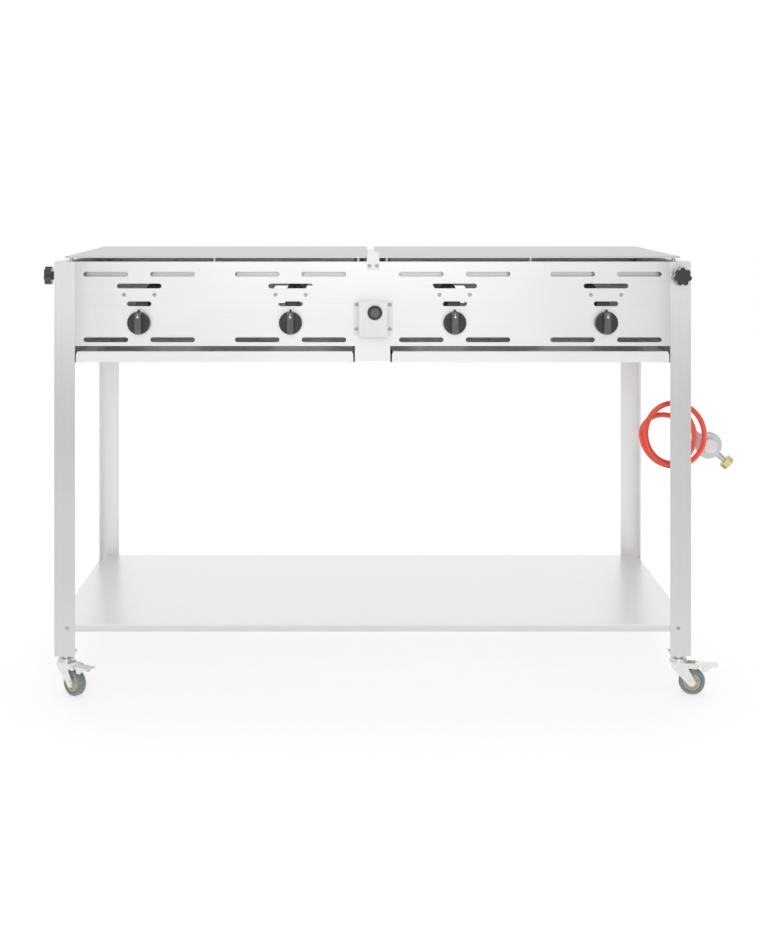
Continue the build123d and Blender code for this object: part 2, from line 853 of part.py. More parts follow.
def castor_fork(name):
    plate_top = fork_bottom + fork_plate
    head = rod((0, 0, fork_bottom), (0, 0, plate_top), fork_radius)
    race = rod((0, 0, plate_top), (0, 0, plate_top + fork_race), fork_radius - 2)
    race = fillet(race.edges().sort_by(Axis.Z)[-1], 2.5)
    bore = rod((0, 0, fork_bottom - 5), (0, 0, plate_top + fork_race + 5), castor_stem_radius + running)
    fork = head + race - bore
    outline = cheek_outline()
    outer = cheek_inner + cheek
    for side in (-1, 1):
        plane = Plane(origin=(0, side * cheek_inner, 0), x_dir=(1, 0, 0), z_dir=(0, -1, 0))
        fork = fork + extrude(plane * outline, amount=-side * cheek)
        bend = (side * (cheek_inner - 2), side * outer)
        fork = fork + block((-13, 13), bend, (fork_bottom - 1, fork_bottom + 1.7))
    centre = (castor_trail, wheel_radius)
    holes = [cross_pin(centre, outer + 1, axle_radius), cross_pin(pedal_pivot, outer + 1, pin_radius)]
    fork = cut_all(fork, holes)
    axle = riveted_pin(centre, axle_radius, 5.2, 1.8)
    pin = riveted_pin(pedal_pivot, pin_radius, 3.4, 1.2)
    return group([place_castor(name, piece) for piece in (fork, axle, pin)])


def castor_wheel(name):
    """A core with a bonded tyre that has rounded shoulders."""
    profile = Plane.XZ * Pos(wheel_radius / 2, 0) * Rectangle(wheel_radius, wheel_width)
    wheel = revolve(profile, Axis.Z)
    wheel = fillet(wheel.edges().filter_by(GeomType.CIRCLE), 4.0)
    dish = Pos(0, 0, wheel_width / 2) * Cylinder(14.0, 3.0)
    hub = Cylinder(7.0, wheel_width + 1.6)
    wheel = wheel - dish - Rot(180, 0, 0) * dish + hub
    wheel = wheel - Cylinder(axle_radius + running, wheel_width + 10)
    return place_castor(name, Pos(castor_trail, 0, wheel_radius) * Rot(90, 0, 0) * wheel)


def castor_pedal(name):
    """The brake lever: a barrel on its pin, a shoe over the tyre and a folded plate."""
    x, z = pedal_pivot
    barrel = rod((x, -cheek_inner + gap, z), (x, cheek_inner - gap, z), 4.0)
    nose = block((x + 1, x + 6), (-7, 7), (z - 5, z + 1))
    side_profile = Plane(origin=(0, -12, 0), x_dir=(1, 0, 0), z_dir=(0, -1, 0))
    plate_line = Polyline(
        (x + 2, z - 1), (x + 2, z + 3.4), (x + 42, z + 5.4), (x + 42, z + 3.4), (x + 8, z - 1), close=True
    )
    plate = extrude(side_profile * make_face(plate_line), amount=-24.0)
    plate = plate - block((x - 10, x + 7.5), (cheek_inner - gap, 20), (z - 8, z + 12))
    plate = plate - block((x - 10, x + 7.5), (-cheek_inner + gap, -20), (z - 8, z + 12))
    tip_edges = plate.edges().filter_by(Axis.Z).sort_by(Axis.X)[-2:]
    plate = fillet(tip_edges, 5.0)
    wings = []
    for side in (-1, 1):
        line = Polyline((x + 10, z - 8), (x + 10, z + 1), (x + 34, z + 3.6), (x + 20, z - 8), close=True)
        plane = Plane(origin=(0, side * 10.4, 0), x_dir=(1, 0, 0), z_dir=(0, -1, 0))
        wings.append(extrude(plane * make_face(line), amount=-side * 1.6))
    lever = joined([barrel, nose, plate] + wings)
    lever = lever - rod((x, -20, z), (x, 20, z), pin_radius + running)
    return place_castor(name, lever)


# ---- gas hose ----
def coil_points():
    """Points of the hose's loose loops, clockwise seen from the front, each a little larger."""
    points = []
    for step in range(coil_steps + 1):
        turn = coil_start_turn + coil_turns * step / coil_steps
        angle = -2 * math.pi * turn
        reach_x, reach_z = (radius + growth * turn for radius, growth in zip(coil_radii, coil_growth))
        x = coil_centre[0] + coil_centre_drift * turn + reach_x * math.cos(angle)
        y = coil_centre[1] + coil_pitch * turn
        z = coil_centre[2] + reach_z * math.sin(angle)
        points.append((x, y, z))
    return points


def regulator_point(distance):
    """A point on the regulator's own line: negative towards the hose, positive towards its nut."""
    angle = math.radians(regulator_angle)
    x, y, z = regulator_centre
    return (x + distance * math.cos(angle), y, z - distance * math.sin(angle))


def hose_tube(points, name):
    """Straight runs joined by arcs as large as the runs allow."""
    vectors = [Vector(*point) for point in points]
    runs = [second - first for first, second in zip(vectors, vectors[1:])]
    radii = []
    for before, after in zip(runs, runs[1:]):
        turn = math.radians(before.get_angle(after))
        radii.append(0.45 * min(before.length, after.length) / math.tan(turn / 2))
    path = FilletPolyline(*vectors, radius=radii)
    start = Plane(origin=vectors[0], z_dir=runs[0])
    tube = sweep(start * Circle(hose_diameter / 2), path=path)
    expected = math.pi * (hose_diameter / 2) ** 2 * path.length
    print(name, "length", round(path.length, 1), "radii", [round(radius) for radius in radii])
    print(name, "volume", round(tube.volume), "expected", round(expected))
    return tube


def hose_drop():
    points = [(inlet_x, manifold_y + inlet_step, inlet_end - 6)] + drop_points + coil_points()[:3]
    return hose_tube(points, "hose_drop") - hose_spigot()


def hose_coil():
    """The closed outer shape of the loops."""
    points = coil_points()
    front = points[0][1] - hose_diameter / 2
    back = points[-1][1] + hose_diameter / 2
    face = front_plane(front, coil_ring_centre[0], coil_ring_centre[1])
    ring = extrude(face * (Ellipse(*coil_ring_radii) - Ellipse(*coil_hole_radii)), amount=-(back - front))
    return fillet(ring.edges(), 4.0)


def hose_tail():
    points = coil_points()[-1:] + tail_points + [regulator_point(-68), regulator_point(-50)]
    tube = hose_tube(points, "hose_tail")
    return tube - rod(regulator_point(-60), regulator_point(-30), hose_bore / 2)


def hose_tie():
    """A cable tie that holds the loops together where they hang lowest."""
    points = coil_points()
    front = points[0][1] - hose_diameter / 2
    back = points[-1][1] + hose_diameter / 2
    low = coil_ring_centre[1] - coil_ring_radii[1]
    high = coil_ring_centre[1] - coil_hole_radii[1]
    x = coil_ring_centre[0]
    clear = gap
    outer = block((x - 2.4, x + 2.4), (front - 1.5, back + 1.5), (low - 1.5, high + 1.5))
    inner = block((x - 3, x + 3), (front - clear, back + clear), (low - clear, high + clear))
    head = block((x - 4, x + 4), (back + 1.5, back + 6), (low + 4, low + 11))
    return outer - inner + head


def hose_clamps():
    """Crimped sleeves over the hose at the inlet and at the regulator."""
    y = manifold_y + inlet_step
    radius = hose_diameter / 2
    upper = rod((inlet_x, y, inlet_end - 8), (inlet_x, y, inlet_end - spigot_length), radius + 1.6)
    upper = upper - rod((inlet_x, y, inlet_end), (inlet_x, y, inlet_end - 30), radius)
    lower = rod(regulator_point(-60), regulator_point(-51), radius + 1.6)
    lower = lower - rod(regulator_point(-70), regulator_point(-45), radius)
    return group([upper, lower])


# ---- regulator ----
def regulator_plane(depth=0.0):
    x, y, z = regulator_centre
    return front_plane(y - depth, x, z)


def regulator_body():
    disc = extrude(regulator_plane(-8) * Circle(26.5), amount=15.0)
    disc = fillet(disc.edges().filter_by(GeomType.CIRCLE), 2.5)
    back = extrude(regulator_plane(-15) * Circle(18.0), amount=8.0)
    back = fillet(back.edges().sort_by(Axis.Y)[-1], 3.0)
    boss = rod(regulator_point(-36), regulator_point(36), 6.0)
    shoulder = rod(regulator_point(-50), regulator_point(-34), 5.0)
    barb = rod(regulator_point(-60), regulator_point(-48), hose_bore / 2)
    spigot = rod(regulator_point(34), regulator_point(49), 5.0)
    flange = rod(regulator_point(47.2), regulator_point(49.2), 8.0)
    return joined([disc, back, boss, shoulder, barb, spigot, flange])


def regulator_cap():
    face = regulator_plane(7)
    cap = extrude(face * Circle(14.5), amount=11.0)
    cap = fillet(cap.edges().sort_by(Axis.Y)[0], 2.0)
    flutes = Sketch() + PolarLocations(15.2, 18) * Circle(1.1)
    grooves = extrude(face * flutes, amount=9.0)
    return cap - grooves


def regulator_nut():
    """The union nut that turns on the regulator's spigot."""
    start = Vector(*regulator_point(44))
    end = Vector(*regulator_point(56.5))
    plane = Plane(origin=start, z_dir=end - start)
    nut = extrude(plane * RegularPolygon(14.0, 6), amount=12.5)
    nut = nut & extrude(plane * Circle(13.6), amount=12.5)
    bore = extrude(plane * Circle(5.0 + running), amount=12.5)
    relief = extrude(plane.offset(3) * Circle(8.4), amount=9.5)
    thread = extrude(plane.offset(5.5) * Circle(10.4), amount=7.0)
    return cut_all(nut, [bore, relief, thread])


# ---- every node ----
def nodes():
    """Node name to solid, for the whole trolley."""
    found = {}
    for name in corners:
        found[f"{name}_leg"] = leg(name)
        found[f"star_knob_{name}"] = star_knob(name)
        found[f"castor_fork_{name}"] = castor_fork(name)
        found[f"castor_wheel_{name}"] = castor_wheel(name)
        found[f"castor_pedal_{name}"] = castor_pedal(name)
    for side_name, side in (("left", -1), ("right", 1)):
        found[f"{side_name}_side_panel"] = side_panel(side)
        found[f"griddle_plate_{side_name}"] = griddle_plate(side)
        found[f"drip_tray_{side_name}"] = drip_tray(side)
    for number, x in enumerate(burner_x, start=1):
        found[f"burner_knob_{number}"] = burner_knob(x)
        found[f"valve_stem_{number}"] = valve_stem(x)
    makers = (
        front_panel, back_panel, centre_divider, tray_runners, bottom_shelf, burner_tubes, burner_brackets,
        gas_manifold, gas_valves, gas_inlet, ignition_electrodes, igniter_bracket, igniter_body,
        igniter_button, centre_clip, pan_head_screws, knob_nuts, castor_stems, hose_drop, hose_coil,
        hose_tail, hose_tie, hose_clamps, regulator_body, regulator_cap, regulator_nut,
    )
    for maker in makers:
        found[maker.__name__] = maker()
    return found


def main():
    os.makedirs("parts", exist_ok=True)
    for name, solid in nodes().items():
        export_step(solid, f"parts/{name}.step")


if __name__ == "__main__":
    main()
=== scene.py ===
import json
import math

import bmesh
import bpy
from bpy.props import FloatProperty, FloatVectorProperty, IntProperty, PointerProperty
from mathutils import Matrix, Vector


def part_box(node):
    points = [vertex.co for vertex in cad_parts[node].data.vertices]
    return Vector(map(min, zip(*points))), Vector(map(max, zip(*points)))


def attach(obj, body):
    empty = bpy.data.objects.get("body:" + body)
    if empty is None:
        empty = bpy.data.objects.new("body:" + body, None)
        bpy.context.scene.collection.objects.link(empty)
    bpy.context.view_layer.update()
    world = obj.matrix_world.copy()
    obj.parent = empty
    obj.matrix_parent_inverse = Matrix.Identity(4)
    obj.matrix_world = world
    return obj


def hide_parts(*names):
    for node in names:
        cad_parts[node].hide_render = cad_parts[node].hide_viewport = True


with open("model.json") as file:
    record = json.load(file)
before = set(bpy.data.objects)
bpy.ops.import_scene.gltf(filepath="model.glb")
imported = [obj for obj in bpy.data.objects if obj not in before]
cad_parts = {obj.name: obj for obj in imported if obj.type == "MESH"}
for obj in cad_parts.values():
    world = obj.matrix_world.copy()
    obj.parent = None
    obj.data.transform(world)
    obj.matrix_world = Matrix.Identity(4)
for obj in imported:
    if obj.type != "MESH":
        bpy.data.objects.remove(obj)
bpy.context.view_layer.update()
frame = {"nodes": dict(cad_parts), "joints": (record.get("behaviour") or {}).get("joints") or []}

bl_info = {
    "name": "Gas Griddle Trolley",
    "version": (1, 0, 0),
    "blender": (4, 5, 0),
    "location": "View3D > Sidebar > Griddle",
    "description": "Finishes the trolley: steelwork, hose, castors, knobs, fasteners and stage",
    "category": "Add Mesh",
}

CORNERS = ("front_left", "front_right", "rear_left", "rear_right")
SIDES = ("left", "right")
BURNERS = (1, 2, 3, 4)
FORWARD = (0, -1, 0)
MERGE_DISTANCE = 1e-6

# The hose's route, in metres: down from the inlet, round the loops, and on to the regulator.
HOSE_EXIT = (0.594, -0.240, 0.634)
HOSE_DROP = (
    HOSE_EXIT, (0.594, -0.240, 0.612), (0.598, -0.236, 0.590), (0.605, -0.231, 0.570),
    (0.613, -0.226, 0.551),
)
HOSE_TAIL = (
    (0.541, -0.199, 0.513), (0.555, -0.195, 0.525), (0.573, -0.190, 0.529), (0.592, -0.185, 0.527),
    (0.608, -0.181, 0.521),
)
COIL_CENTRE = (0.589, -0.222, 0.494)
COIL_START = -0.125  # turns from the loops' right-hand side
COIL_DRIFT = 0.008  # to the right, for each turn
COIL_HALF_WIDTH, COIL_WIDENS = 0.047, 0.015  # at the start, and more for each turn
COIL_HALF_HEIGHT, COIL_HEIGHTENS = 0.057, 0.008

# Along the regulator: from its union nut back to its middle, and from there back to the hose.
NUT_TO_MIDDLE = 0.050
HOSE_END = (0.068, 0.050)
SLEEVE_ENDS = (0.060, 0.051)

# Crimped sleeves; the bands' reaches are shares of a sleeve's length.
INLET_SLEEVE_TOP, INLET_SLEEVE_LENGTH = 0.632, 0.009
SLEEVE_WALL, SLEEVE_EDGE, SLEEVE_BANDS = 0.0013, 0.0004, 3
BAND_REACH, WAIST_REACH, WAIST_SHARE = 0.10, 0.04, 0.45

# The cable tie: its strap round the loops, its housing behind them, and its hanging end.
TIE_HALF_WIDTH, TIE_GAP, TIE_OUTER, TIE_STEPS = 0.0023, 0.0001, 0.0013, 48
TIE_SEARCH = 0.02  # how far above the tie's middle the hose is looked for
TIE_HEAD_HALF_WIDTH, TIE_HEAD_HALF_HEIGHT, TIE_HEAD_BEVEL = 0.0036, 0.003, 0.0006
TIE_HEAD_DEPTHS = (-0.001, 0.0042)  # behind the strap, front face then back face
TIE_TAIL_DEPTHS, TIE_TAIL_LENGTH, TIE_TAIL_BEVEL = (0.0008, 0.0019), 0.014, 0.0003

# Burner knobs: the painted dot and line stand on the grip bar, above the knob's middle.
SKIRT_DEPTH = 0.0085  # from a knob's back to the front of its skirt
DOT_HEIGHT = 0.0125
DOT_OUTLINE = (
    (0.00001, -0.0005), (0.0021, -0.0005), (0.0021, 0.0002), (0.0016, 0.0004), (0.00001, 0.0004),
)
LINE_LOW, LINE_HIGH, LINE_HALF_WIDTH = 0.0145, 0.0195, 0.0005
LINE_PROUD, LINE_SUNK, LINE_BEVEL = 0.0003, 0.0006, 0.0001

# Grip ribs as (rib radius, rib length, distance in from the back face).
KNOB_RIB = (0.0008, 0.0055, 0.0002)
CAP_RIB = (0.0009, 0.007, 0.0005)
RIB_SINK, RIB_SIDES = 0.0004, 10

# Screw heads: the dome's narrow end is a share of the head, and the cross recess has two arms.
HEAD_SIDES, DOME_SHARE = 28, 0.72
CROSS_WIDTH, CROSS_LENGTH, CROSS_DEPTH = 0.0008, 0.0042, 0.0012

# Castor wheels; setbacks are in from the wheel's two side faces.
WHEEL_HALF_WIDTH = 0.0095
TYRE_BORE, TYRE_LIP, TYRE_WALL, TYRE_RADIUS, TYRE_SHOULDER = 0.0165, 0.0180, 0.019, 0.025, 0.0048
BORE_SETBACK, LIP_SETBACK = 0.0022, 0.0006
AXLE_BORE, HUB_FACE, HUB_RADIUS, HUB_PROUD = 0.00305, 0.0062, 0.0070, 0.0008
WEB_PROFILE = ((0.0074, 0.0042), (0.0135, 0.0036))
RIM_INSIDE, RIM_RADIUS, RIM_SETBACKS = 0.0145, 0.0150, (0.0026, 0.0018)
SPOKES, SPOKE_HALF_WIDTH, SPOKE_SETBACK, SPOKE_BEVEL = 6, 0.0007, 0.003, 0.0002

# Stage: the camera stands left of the middle, and the floor curves up into a wall.
CAMERA_SIDE = -0.034
CAMERA_SHIFT = (0.0263, -0.3074)
SENSOR_WIDTH = 36.0  # millimetres
KEY_PLACE, KEY_TARGET, KEY_SIZE = (0.0, -3.9, 1.9), (0.0, 0.0, 0.7), 1.8
TOP_PLACE, TOP_TARGET, TOP_SIZE = (0.0, 0.3, 3.2), (0.0, 0.0, 0.0), 2.6
FLOOR_FRONT, FLOOR_BACK, FLOOR_HALF_WIDTH = -7.0, 3.4, 8.0
SWEEP_RADIUS, WALL_TOP = 1.2, 6.0
FLOOR_ROUGHNESS = 0.8

# Finishes: how far the grain is drawn out, and how much each pattern counts.
ALONG_GRAIN, ACROSS_GRAIN, PATCH_SCALE = 3.0, 700.0, 3.5
PATCH_SHARE, GRAIN_SHARE, WEAR_SHARE = 0.6, 0.35, 0.65
SATIN_BUMP, BUMP_DISTANCE = 0.12, 0.0002
RAMP_ENDS = (0.25, 0.75)
LIP_SHADE_DEPTHS = (0.004, 0.0005)  # below the shelf's top
MIX_A, MIX_B, MIX_RESULT = 6, 7, 2  # the Mix node's sockets for colours


# ---- sizes and colours a user may change ----
class HoseSettings(bpy.types.PropertyGroup):
    """The gas hose and its loose loops."""

    diameter: FloatProperty(
        name="Diameter", description="Outside diameter of the hose", default=0.0105, unit="LENGTH"
    )
    pitch: FloatProperty(
        name="Pitch", description="How far each loop lies behind the last",
        default=0.0125, unit="LENGTH",
    )
    steps: IntProperty(
        name="Loop points", description="Control points in the loops", default=20, min=16
    )
    turns: FloatProperty(name="Turns", description="Turns in the loops", default=1.625, min=1.0)
    colour: FloatVectorProperty(
        name="Hose colour", description="Colour of the rubber", subtype="COLOR", size=3,
        default=(0.97, 0.080, 0.036),
    )


class FinishSettings(bpy.types.PropertyGroup):
    """Colours of the trolley's metals and plastics."""

    steel: FloatVectorProperty(
        name="Panels", description="Satin steel of the panels and legs", subtype="COLOR", size=3,
        default=(0.84, 0.84, 0.835),
    )
    plate: FloatVectorProperty(
        name="Plates", description="Ground steel of the griddle plates", subtype="COLOR", size=3,
        default=(0.65, 0.65, 0.65),
    )
    zinc: FloatVectorProperty(
        name="Zinc", description="Plated steel of the castors", subtype="COLOR", size=3,
        default=(0.80, 0.80, 0.78),
    )
    tyre: FloatVectorProperty(
        name="Tyre", description="Rubber of the castor tyres", subtype="COLOR", size=3,
        default=(0.21, 0.27, 0.28),
    )
    plastic: FloatVectorProperty(
        name="Black plastic", description="Knobs and button", subtype="COLOR", size=3,
        default=(0.035, 0.035, 0.036),
    )


class FastenerSettings(bpy.types.PropertyGroup):
    """Screw heads and grip ribs."""

    head_radius: FloatProperty(
        name="Head radius", description="Radius of the screw heads", default=0.0037, unit="LENGTH"
    )
    head_height: FloatProperty(
        name="Head height", description="Height of the screw heads", default=0.0022, unit="LENGTH"
    )
    knob_ribs: IntProperty(name="Knob ribs", description="Grip ribs round each knob", default=40, min=8)
    cap_ribs: IntProperty(name="Cap ribs", description="Grip ribs round the cap", default=18, min=8)


class StageSettings(bpy.types.PropertyGroup):
    """Camera, floor and lights."""

    distance: FloatProperty(
        name="Camera distance", description="From the front legs to the camera",
        default=3.032, unit="LENGTH",
    )
    height: FloatProperty(
        name="Camera height", description="Height of the camera", default=0.990, unit="LENGTH"
    )
    lens: FloatProperty(name="Lens", description="Focal length in millimetres", default=59.5)
    floor: FloatVectorProperty(
        name="Floor", description="Colour of the floor", subtype="COLOR", size=3,
        default=(0.80, 0.80, 0.80),
    )
    glow: FloatProperty(
        name="Floor glow", description="Light the lit floor gives off by itself", default=0.46
    )
    daylight: FloatProperty(
        name="Daylight", description="Strength of the even light all round", default=0.50
    )
    key: FloatProperty(
        name="Key light", description="Power of the front light in watts", default=26.0
    )
    fill: FloatProperty(
        name="Top light", description="Power of the overhead light in watts", default=10.0
    )


def finishes():
    return bpy.context.scene.griddle_finish


def hose_settings():
    return bpy.context.scene.griddle_hose


# ---- meshes ----
def finished(name, mesh, body, material, replaced=()):
    """Links a mesh as a piece that rides on a body and stands for CAD nodes."""
    piece = bpy.data.objects.new(name, mesh)
    bpy.context.scene.collection.objects.link(piece)
    mesh.materials.clear()
    mesh.materials.append(material)
    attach(piece, body)
    if replaced:
        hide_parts(*replaced)
    return piece


def mesh_from(bm, name, smooth_angle=40.0):
    """A clean mesh from a bmesh: doubles merged, faces outward, smooth below an angle."""
    bmesh.ops.remove_doubles(bm, verts=bm.verts, dist=MERGE_DISTANCE)
    bmesh.ops.recalc_face_normals(bm, faces=bm.faces)
    mesh = bpy.data.meshes.new(name)
    bm.to_mesh(mesh)
    bm.free()
    smooth(mesh, smooth_angle)
    return mesh


def smooth(mesh, angle):
    mesh.polygons.foreach_set("use_smooth", [True] * len(mesh.polygons))
    mesh.set_sharp_from_angle(angle=math.radians(angle))


def skin(bm, rings):
    """Faces between closed rings, with the last ring joined to the first."""
    for here, after in zip(rings, rings[1:] + rings[:1]):
        for index in range(len(here)):
            following = (index + 1) % len(here)
            bm.faces.new((here[index], after[index], after[following], here[following]))


def lathe(bm, profile, segments, place):
    """Turns a closed outline of (radius, height) points round Z."""
    rings = []
    for step in range(segments):
        angle = 2 * math.pi * step / segments
        ring = []
        for radius, height in profile:
            point = Vector((radius * math.cos(angle), radius * math.sin(angle), height))
            ring.append(bm.verts.new(place @ point))
        rings.append(ring)
    skin(bm, rings)


def rounded(radius_low, radius_high, low, high, bevel, steps=7):
    """An outline for lathe(): a ring between two radii with rounded outer corners."""
    outline = [(radius_low, low)]
    for corner_height, start in ((low + bevel, -90.0), (high - bevel, 0.0)):
        for step in range(steps + 1):
            angle = math.radians(start + 90.0 * step / steps)
            reach = radius_high - bevel + bevel * math.cos(angle)
            outline.append((reach, corner_height + bevel * math.sin(angle)))
    outline.append((radius_low, high))
    return outline


def box_into(bm, low, high, bevel, place=Matrix.Identity(4)):
    """A box between two corners, with its edges rounded over."""
    size = [b - a for a, b in zip(low, high)]
    middle = [(a + b) / 2 for a, b in zip(low, high)]
    matrix = place @ Matrix.Translation(middle) @ Matrix.Diagonal((*size, 1.0))
    made = bmesh.ops.create_cube(bm, size=1.0, matrix=matrix)
    edges = {edge for vert in made["verts"] for edge in vert.link_edges}
    bmesh.ops.bevel(bm, geom=list(edges), offset=bevel, segments=3, profile=0.5, affect="EDGES")


def middle_of(node):
    low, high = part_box(node)
    return (Vector(low) + Vector(high)) / 2


def joint_named(name):
    return next(joint for joint in frame["joints"] if joint["name"] == name)


def turned_to(axis, origin):
    """A matrix that takes +Z to an axis and the origin to a point."""
    turn = Vector(axis).to_track_quat("Z", "Y").to_matrix().to_4x4()
    return Matrix.Translation(origin) @ turn


# ---- node trees ----
def new_tree(name, kind, inputs, outputs):
    """An empty node tree with named sockets; inputs are (name, type, default)."""
    tree = bpy.data.node_groups.new(name, kind)
    for label, socket_kind, default in inputs:
        socket = tree.interface.new_socket(name=label, in_out="INPUT", socket_type=socket_kind)
        if default is not None:
            socket.default_value = default
    for label, socket_kind in outputs:
        tree.interface.new_socket(name=label, in_out="OUTPUT", socket_type=socket_kind)
    return tree, tree.nodes.new("NodeGroupInput"), tree.nodes.new("NodeGroupOutput")


def shared_tree(name, maker):
    """A node tree that is built once and then used again."""
    found = bpy.data.node_groups.get(name)
    return found if found else maker()


def feed(tree, socket, value):
    """Links another node's output to a socket, or sets the socket to a plain value."""
    if isinstance(value, bpy.types.NodeSocket):
        tree.links.new(value, socket)
    else:
        socket.default_value = value


def add_math(tree, operation, first, second, clamp=False):
    node = tree.nodes.new("ShaderNodeMath")
    node.operation = operation
    node.use_clamp = clamp
    feed(tree, node.inputs[0], first)
    feed(tree, node.inputs[1], second)
    return node.outputs[0]


def add_noise(tree, vector, scale, detail):
    node = tree.nodes.new("ShaderNodeTexNoise")
    node.inputs["Detail"].default_value = detail
    tree.links.new(vector, node.inputs["Vector"])
    feed(tree, node.inputs["Scale"], scale)
    return node


# ---- shader groups ----
def surface_group(name, own_inputs, rough_low, rough_high):
    """A shader group that puts out a surface's shade, roughness and relief."""
    inputs = (
        ("Vector", "NodeSocketVector", None),
        *own_inputs,
        ("Rough Low", "NodeSocketFloat", rough_low),
        ("Rough High", "NodeSocketFloat", rough_high),
    )
    outputs = [(label, "NodeSocketFloat") for label in ("Shade", "Roughness", "Height")]
    return new_tree(name, "ShaderNodeTree", inputs, outputs)


def surface_outputs(group, source, sink, shade, height):
    """Sends out the shade, a roughness that follows it between its limits, and the relief."""
    low = source.outputs["Rough Low"]
    span = add_math(group, "SUBTRACT", source.outputs["Rough High"], low)
    lift = add_math(group, "MULTIPLY", shade, span)
    rough = add_math(group, "ADD", lift, low)
    for label, output in (("Shade", shade), ("Roughness", rough), ("Height", height)):
        group.links.new(output, sink.inputs[label])


def brushed_group():
    """Long fine scratches along one axis, crossed by broad soft patches of handling."""
    own_inputs = (
        ("Stretch", "NodeSocketVector", (4.0, 900.0, 900.0)),
        ("Patch Scale", "NodeSocketFloat", 5.0),
        ("Contrast", "NodeSocketFloat", 0.5),
    )
    group, source, sink = surface_group("Brushed Grain", own_inputs, 0.3, 0.45)
    stretch = group.nodes.new("ShaderNodeVectorMath")
    stretch.operation = "MULTIPLY"
    group.links.new(source.outputs["Vector"], stretch.inputs[0])
    group.links.new(source.outputs["Stretch"], stretch.inputs[1])
    grain = add_noise(group, stretch.outputs[0], 1.0, detail=4.0)
    grain.inputs["Roughness"].default_value = 0.65
    patch = add_noise(group, source.outputs["Vector"], source.outputs["Patch Scale"], detail=3.0)
    centred = add_math(group, "SUBTRACT", grain.outputs["Fac"], 0.5)
    strong = add_math(group, "MULTIPLY", centred, source.outputs["Contrast"])
    soft = add_math(group, "SUBTRACT", patch.outputs["Fac"], 0.5)
    soft = add_math(group, "MULTIPLY", soft, PATCH_SHARE)
    total = add_math(group, "ADD", strong, soft)
    shade = add_math(group, "ADD", total, 0.5, clamp=True)
    surface_outputs(group, source, sink, shade, grain.outputs["Fac"])
    return group


def mottle_group():
    """A fine cast or moulded surface with wider cloudy wear."""
    own_inputs = (
        ("Grain Scale", "NodeSocketFloat", 900.0),
        ("Wear Scale", "NodeSocketFloat", 40.0),
    )
    group, source, sink = surface_group("Moulded Surface", own_inputs, 0.3, 0.5)
    place = source.outputs["Vector"]
    grain = add_noise(group, place, source.outputs["Grain Scale"], detail=2.0)
    wear = add_noise(group, place, source.outputs["Wear Scale"], detail=5.0)
    mixed = add_math(group, "MULTIPLY", grain.outputs["Fac"], GRAIN_SHARE)
    cloudy = add_math(group, "MULTIPLY", wear.outputs["Fac"], WEAR_SHARE)
    shade = add_math(group, "ADD", mixed, cloudy, clamp=True)
    surface_outputs(group, source, sink, shade, grain.outputs["Fac"])
    return group


# ---- materials ----
def surface(name, group_name, maker, values, colour, spread, bump, metallic=0.0, coat=0.0):
    """A Principled material whose colour, roughness and bump come from a shared group."""
    found = bpy.data.materials.get(name)
    if found:
        return found
    material = bpy.data.materials.new(name)
    material.use_nodes = True
    tree = material.node_tree
    shader = tree.nodes["Principled BSDF"]
    shader.inputs["Metallic"].default_value = metallic
    shader.inputs["Coat Weight"].default_value = coat
    place = tree.nodes.new("ShaderNodeTexCoord")
    group = tree.nodes.new("ShaderNodeGroup")
    group.node_tree = shared_tree(group_name, maker)
    for label, value in values.items():
        group.inputs[label].default_value = value
    tree.links.new(place.outputs["Object"], group.inputs["Vector"])
    ramp = tree.nodes.new("ShaderNodeValToRGB")
    shades = (tinted(colour, 1.0 - spread), tinted(colour, 1.0 + spread))
    for element, position, shade in zip(ramp.color_ramp.elements, RAMP_ENDS, shades):
        element.position = position
        element.color = (*shade, 1.0)
    tree.links.new(group.outputs["Shade"], ramp.inputs["Fac"])
    tree.links.new(ramp.outputs["Color"], shader.inputs["Base Color"])
    tree.links.new(group.outputs["Roughness"], shader.inputs["Roughness"])
    relief = tree.nodes.new("ShaderNodeBump")
    relief.inputs["Strength"].default_value = bump
    relief.inputs["Distance"].default_value = BUMP_DISTANCE
    tree.links.new(group.outputs["Height"], relief.inputs["Height"])
    tree.links.new(relief.outputs["Normal"], shader.inputs["Normal"])
    return material


def tinted(colour, factor):
    return tuple(max(0.0, min(1.0, channel * factor)) for channel in colour)


def brushed(name, colour, along, low=0.30, high=0.44, contrast=0.5, spread=0.06):
    """Brushed metal with its grain along X, Y or Z."""
    stretch = [ALONG_GRAIN if axis == along else ACROSS_GRAIN for axis in "XYZ"]
    values = {
        "Stretch": stretch, "Patch Scale": PATCH_SCALE, "Contrast": contrast,
        "Rough Low": low, "Rough High": high,
    }
    return surface(
        name, "Brushed Grain", brushed_group, values, colour, spread, SATIN_BUMP, metallic=1.0
    )


def moulded(name, colour, low, high, spread=0.15, bump=0.1, grain=900.0, wear=40.0, **gloss):
    """A cast or moulded surface; gloss may give its metallic and coat values."""
    values = {"Grain Scale": grain, "Wear Scale": wear, "Rough Low": low, "Rough High": high}
    return surface(name, "Moulded Surface", mottle_group, values, colour, spread, bump, **gloss)


def along_axis(tree, axis):
    """How far each point of a piece lies along an object axis."""
    place = tree.nodes.new("ShaderNodeTexCoord")
    parts = tree.nodes.new("ShaderNodeSeparateXYZ")
    tree.links.new(place.outputs["Object"], parts.inputs["Vector"])
    return parts.outputs[axis]


def mixed_in(tree, factor, colour, blend):
    """Mixes a colour into what feeds the shader's base colour."""
    base = tree.nodes["Principled BSDF"].inputs["Base Color"]
    mix = tree.nodes.new("ShaderNodeMix")
    mix.data_type = "RGBA"
    mix.blend_type = blend
    feed(tree, mix.inputs["Factor"], factor)
    tree.links.new(base.links[0].from_socket, mix.inputs[MIX_A])
    feed(tree, mix.inputs[MIX_B], colour)
    tree.links.new(mix.outputs[MIX_RESULT], base)


